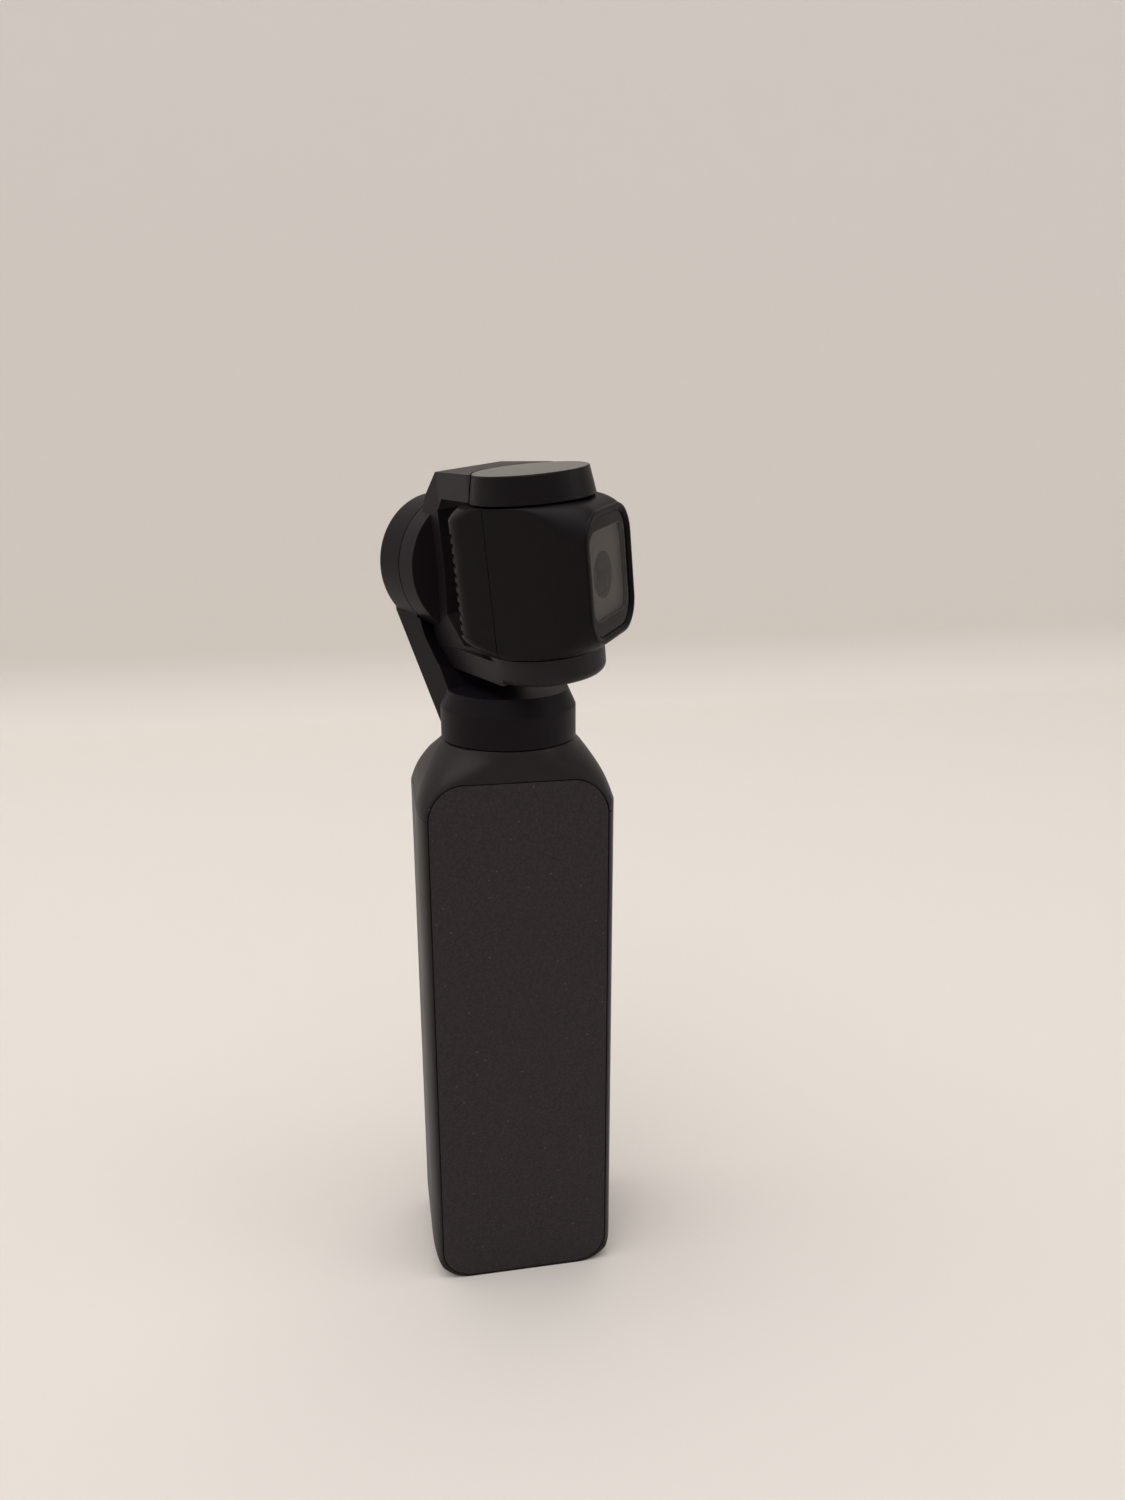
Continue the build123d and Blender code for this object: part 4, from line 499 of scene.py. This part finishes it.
BEZEL_WIDTH, BEZEL_HEIGHT, BEZEL_R = 0.0154, 0.0175, 0.0044
BEZEL_BACK, BEZEL_FRONT, MM = 0.01025, 0.0104, 0.001
RIM_STEPS_MM = [(0.07, 0.13), (0.15, 0.07), (0.28, 0.0), (0.06, -0.1),
                (0.16, 0.0), (0.06, -0.1), (0.16, -0.02), (0.06, -0.2)]
SPIGOT_IN_MM, SPIGOT_LENGTH_MM, SPIGOT_WALL_MM = 0.45, 1.5, 0.55
bezel = rounded_block("stepped_lens_frame", BEZEL_WIDTH, BEZEL_HEIGHT, BEZEL_R,
                      BEZEL_BACK, BEZEL_FRONT)
select_end(bezel, 1)
bpy.ops.object.mode_set(mode="EDIT")
for inward, outward in RIM_STEPS_MM:
    bpy.ops.mesh.inset(thickness=inward * MM, depth=outward * MM)
bpy.ops.object.mode_set(mode="OBJECT")
rim_floor = next(face.index for face in bezel.data.polygons if face.select)
select_end(bezel, -1)
bpy.ops.object.mode_set(mode="EDIT")
bpy.ops.mesh.inset(thickness=SPIGOT_IN_MM * MM)
bpy.ops.mesh.inset(thickness=0.0, depth=SPIGOT_LENGTH_MM * MM)
bpy.ops.mesh.inset(thickness=SPIGOT_WALL_MM * MM)
bpy.ops.object.mode_set(mode="OBJECT")
bezel.data.polygons[rim_floor].select = True
bpy.ops.object.mode_set(mode="EDIT")
bpy.ops.mesh.bridge_edge_loops()
bpy.ops.mesh.select_all(action="SELECT")
bpy.ops.mesh.normals_make_consistent(inside=False)
bpy.ops.object.mode_set(mode="OBJECT")
turn_to_nose(bezel)
bpy.ops.object.shade_smooth_by_angle(angle=radians(NOSE_CREASE))
# Polycarbonate from a polished mould: black, with a soft line of light along each ledge.
gloss_frame = moulded_plastic("polished_black_pc", "#0e0b0c", 0.36, 3.0, 0.002, 0.03,
                              Specular_IOR_Level=0.08)
bezel.data.materials.append(gloss_frame)
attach(bezel, "camera")
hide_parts("lens_frame")

# ---- Lens mask and barrel
# A grey mask sits in the nose behind the window, its flange held between shell and lens frame.
# The lens barrel is matt black inside and out, and looks out through the mask's round hole.
MASK_WIDTH, MASK_HEIGHT, MASK_R = 0.01446, 0.01656, 0.00393
MASK_BACK, FLANGE_FRONT, FLANGE_IN_MM, FACE_RISE_MM = 0.0072, 0.00872, 0.58, 0.28
HOLE_R, HOLE_POINTS, DRILL_LENGTH, DRILL_MIDDLE = 0.00312, 96, 0.01, 0.009
mask = rounded_block("flush_lens_mask", MASK_WIDTH, MASK_HEIGHT, MASK_R, MASK_BACK, FLANGE_FRONT)
select_end(mask, 1)
bpy.ops.object.mode_set(mode="EDIT")
bpy.ops.mesh.inset(thickness=FLANGE_IN_MM * MM)
bpy.ops.mesh.inset(thickness=0.0, depth=FACE_RISE_MM * MM)
bpy.ops.object.mode_set(mode="OBJECT")
bpy.ops.mesh.primitive_cylinder_add(vertices=HOLE_POINTS, radius=HOLE_R, depth=DRILL_LENGTH,
                                    location=(0, 0, DRILL_MIDDLE))
bore = bpy.context.object
drilled = mask.modifiers.new("lens hole", "BOOLEAN")
drilled.operation, drilled.solver, drilled.object = "DIFFERENCE", "EXACT", bore
bpy.context.view_layer.objects.active = mask
bpy.ops.object.modifier_apply(modifier=drilled.name)
bpy.data.objects.remove(bore)
turn_to_nose(mask)
bpy.ops.object.shade_smooth_by_angle(angle=radians(NOSE_CREASE))
# The look of an anodised plate: a dull warm grey, the lightest thing behind the glass.
mask_grey = moulded_plastic("anodised_mask_plate", "#524948", 0.6, 0.4, 0.01)
mask.data.materials.append(mask_grey)
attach(mask, "camera")
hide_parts("lens_mask")
dress(mask_grey, "lens_mask")
# Baffled black: takes nearly all the light, so that the lens reads as a dark disc.
lens_black = moulded_plastic("baffled_matt_black", "#141314", 0.7, 0.3, 0.02,
                             Specular_IOR_Level=0.2)
dress(lens_black, "lens_barrel")

# ---- Lens window
# A flat protective glass, coated against reflections and set into the lens frame.
# A black ceramic border is fired on it, which leaves a clear field with rounded corners.
WINDOW_WIDTH, WINDOW_HEIGHT, WINDOW_R = 0.01336, 0.01546, 0.00338
WINDOW_BACK, WINDOW_FRONT, GROUND_EDGE, WINDOW_CREASE = 0.00962, 0.0102, 0.00006, 20
CLEAR_HALF_WIDTH, CLEAR_HALF_HEIGHT, CLEAR_R, PRINT_EDGE = 0.0059, 0.00585, 0.002, 0.00004
CLEAR_MIDDLE = Vector((0, 0.00045, 0))
GLASS, CERAMIC, SMEARS_PER_M, SMEAR = "#dcdad8", "#0c0a0b", 120.0, 0.04


def coated_glass(name, tint, rough, ior):
    """Glass with a faint smear; its coating is a low IOR, which mirrors less than bare glass."""
    material, tree, shader, place = new_finish(name, tint, rough, Transmission_Weight=1.0, IOR=ior)
    smear = add(tree, "TexNoise", {"Scale": SMEARS_PER_M, "Detail": 2.0}, {"Vector": place})
    film = add(tree, "MapRange", {"To Min": rough, "To Max": rough + SMEAR},
               {"Value": smear.outputs[0]})
    tree.links.new(film.outputs[0], shader.inputs["Roughness"])
    return material, tree, shader, place


# Coated window glass: clear, with a faint grey image of the wall over what lies behind it.
# The fired ceramic is black and takes the glass's own gloss.
window_glass, tree, shader, place = coated_glass("coated_window_glass", GLASS, 0.03, 1.14)
from_middle = add(tree, "VectorMath", {"operation": "SUBTRACT", 1: CAMERA_AXES @ CLEAR_MIDDLE},
                  {0: place})
outside = []
for axis, half in ((ACROSS, CLEAR_HALF_WIDTH), (Vector(TILT_AXIS), CLEAR_HALF_HEIGHT)):
    reach = add(tree, "VectorMath", {"operation": "DOT_PRODUCT", 1: axis},
                {0: from_middle.outputs[0]})
    distance = add(tree, "Math", {"operation": "ABSOLUTE"}, {0: reach.outputs["Value"]})
    past = add(tree, "Math", {"operation": "SUBTRACT", 1: half - CLEAR_R}, {0: distance.outputs[0]})
    outside.append(add(tree, "Math", {"operation": "MAXIMUM", 1: 0.0}, {0: past.outputs[0]}))
corner = add(tree, "CombineXYZ", {}, {0: outside[0].outputs[0], 1: outside[1].outputs[0]})
from_corner = add(tree, "VectorMath", {"operation": "LENGTH"}, {0: corner.outputs[0]})
clear = add(tree, "MapRange", {"From Min": CLEAR_R, "From Max": CLEAR_R + PRINT_EDGE,
                               "To Min": 1.0, "To Max": 0.0},
            {"Value": from_corner.outputs["Value"]})
fired = add(tree, "Mix", {"data_type": "RGBA", 6: linear(CERAMIC), 7: linear(GLASS)},
            {0: clear.outputs[0]})
tree.links.new(fired.outputs[2], shader.inputs["Base Color"])
tree.links.new(clear.outputs[0], shader.inputs["Transmission Weight"])
window = rounded_block("bordered_lens_window", WINDOW_WIDTH, WINDOW_HEIGHT, WINDOW_R,
                       WINDOW_BACK, WINDOW_FRONT)
turn_to_nose(window)
bevelled = window.modifiers.new("ground edge", "BEVEL")
bevelled.width, bevelled.segments, bevelled.limit_method = GROUND_EDGE, 2, "ANGLE"
bpy.ops.object.modifier_apply(modifier=bevelled.name)
bpy.ops.object.shade_smooth_by_angle(angle=radians(WINDOW_CREASE))
window.data.materials.append(window_glass)
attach(window, "camera")
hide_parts("lens_window")

# ---- Lens elements and sensor
# Ground glass elements sit in the barrel, and the sensor chip lies behind them.
# Their coats leave a faint cool tint, and the chip's pixels a dark metallic shimmer.
PIXEL_BLOCKS_PER_MM, CHIP_SHINY, CHIP_DULL = 4.0, 0.1, 0.25
element_glass = coated_glass("multicoated_lens_glass", "#d6d2e2", 0.01, 1.25)[0]
dress(element_glass, "lens_elements")
sensor_chip, tree, shader, place = new_finish("sensor_silicon", "#20242c", 0.15, Metallic=0.4)
pixels = add(tree, "TexChecker", {"Scale": PIXEL_BLOCKS_PER_MM * MM_PER_M}, {"Vector": place})
shimmer = add(tree, "MapRange", {"To Min": CHIP_SHINY, "To Max": CHIP_DULL},
              {"Value": pixels.outputs[1]})
tree.links.new(shimmer.outputs[0], shader.inputs["Roughness"])
dress(sensor_chip, "image_sensor")

bpy.context.scene.view_settings.view_transform = "Standard"
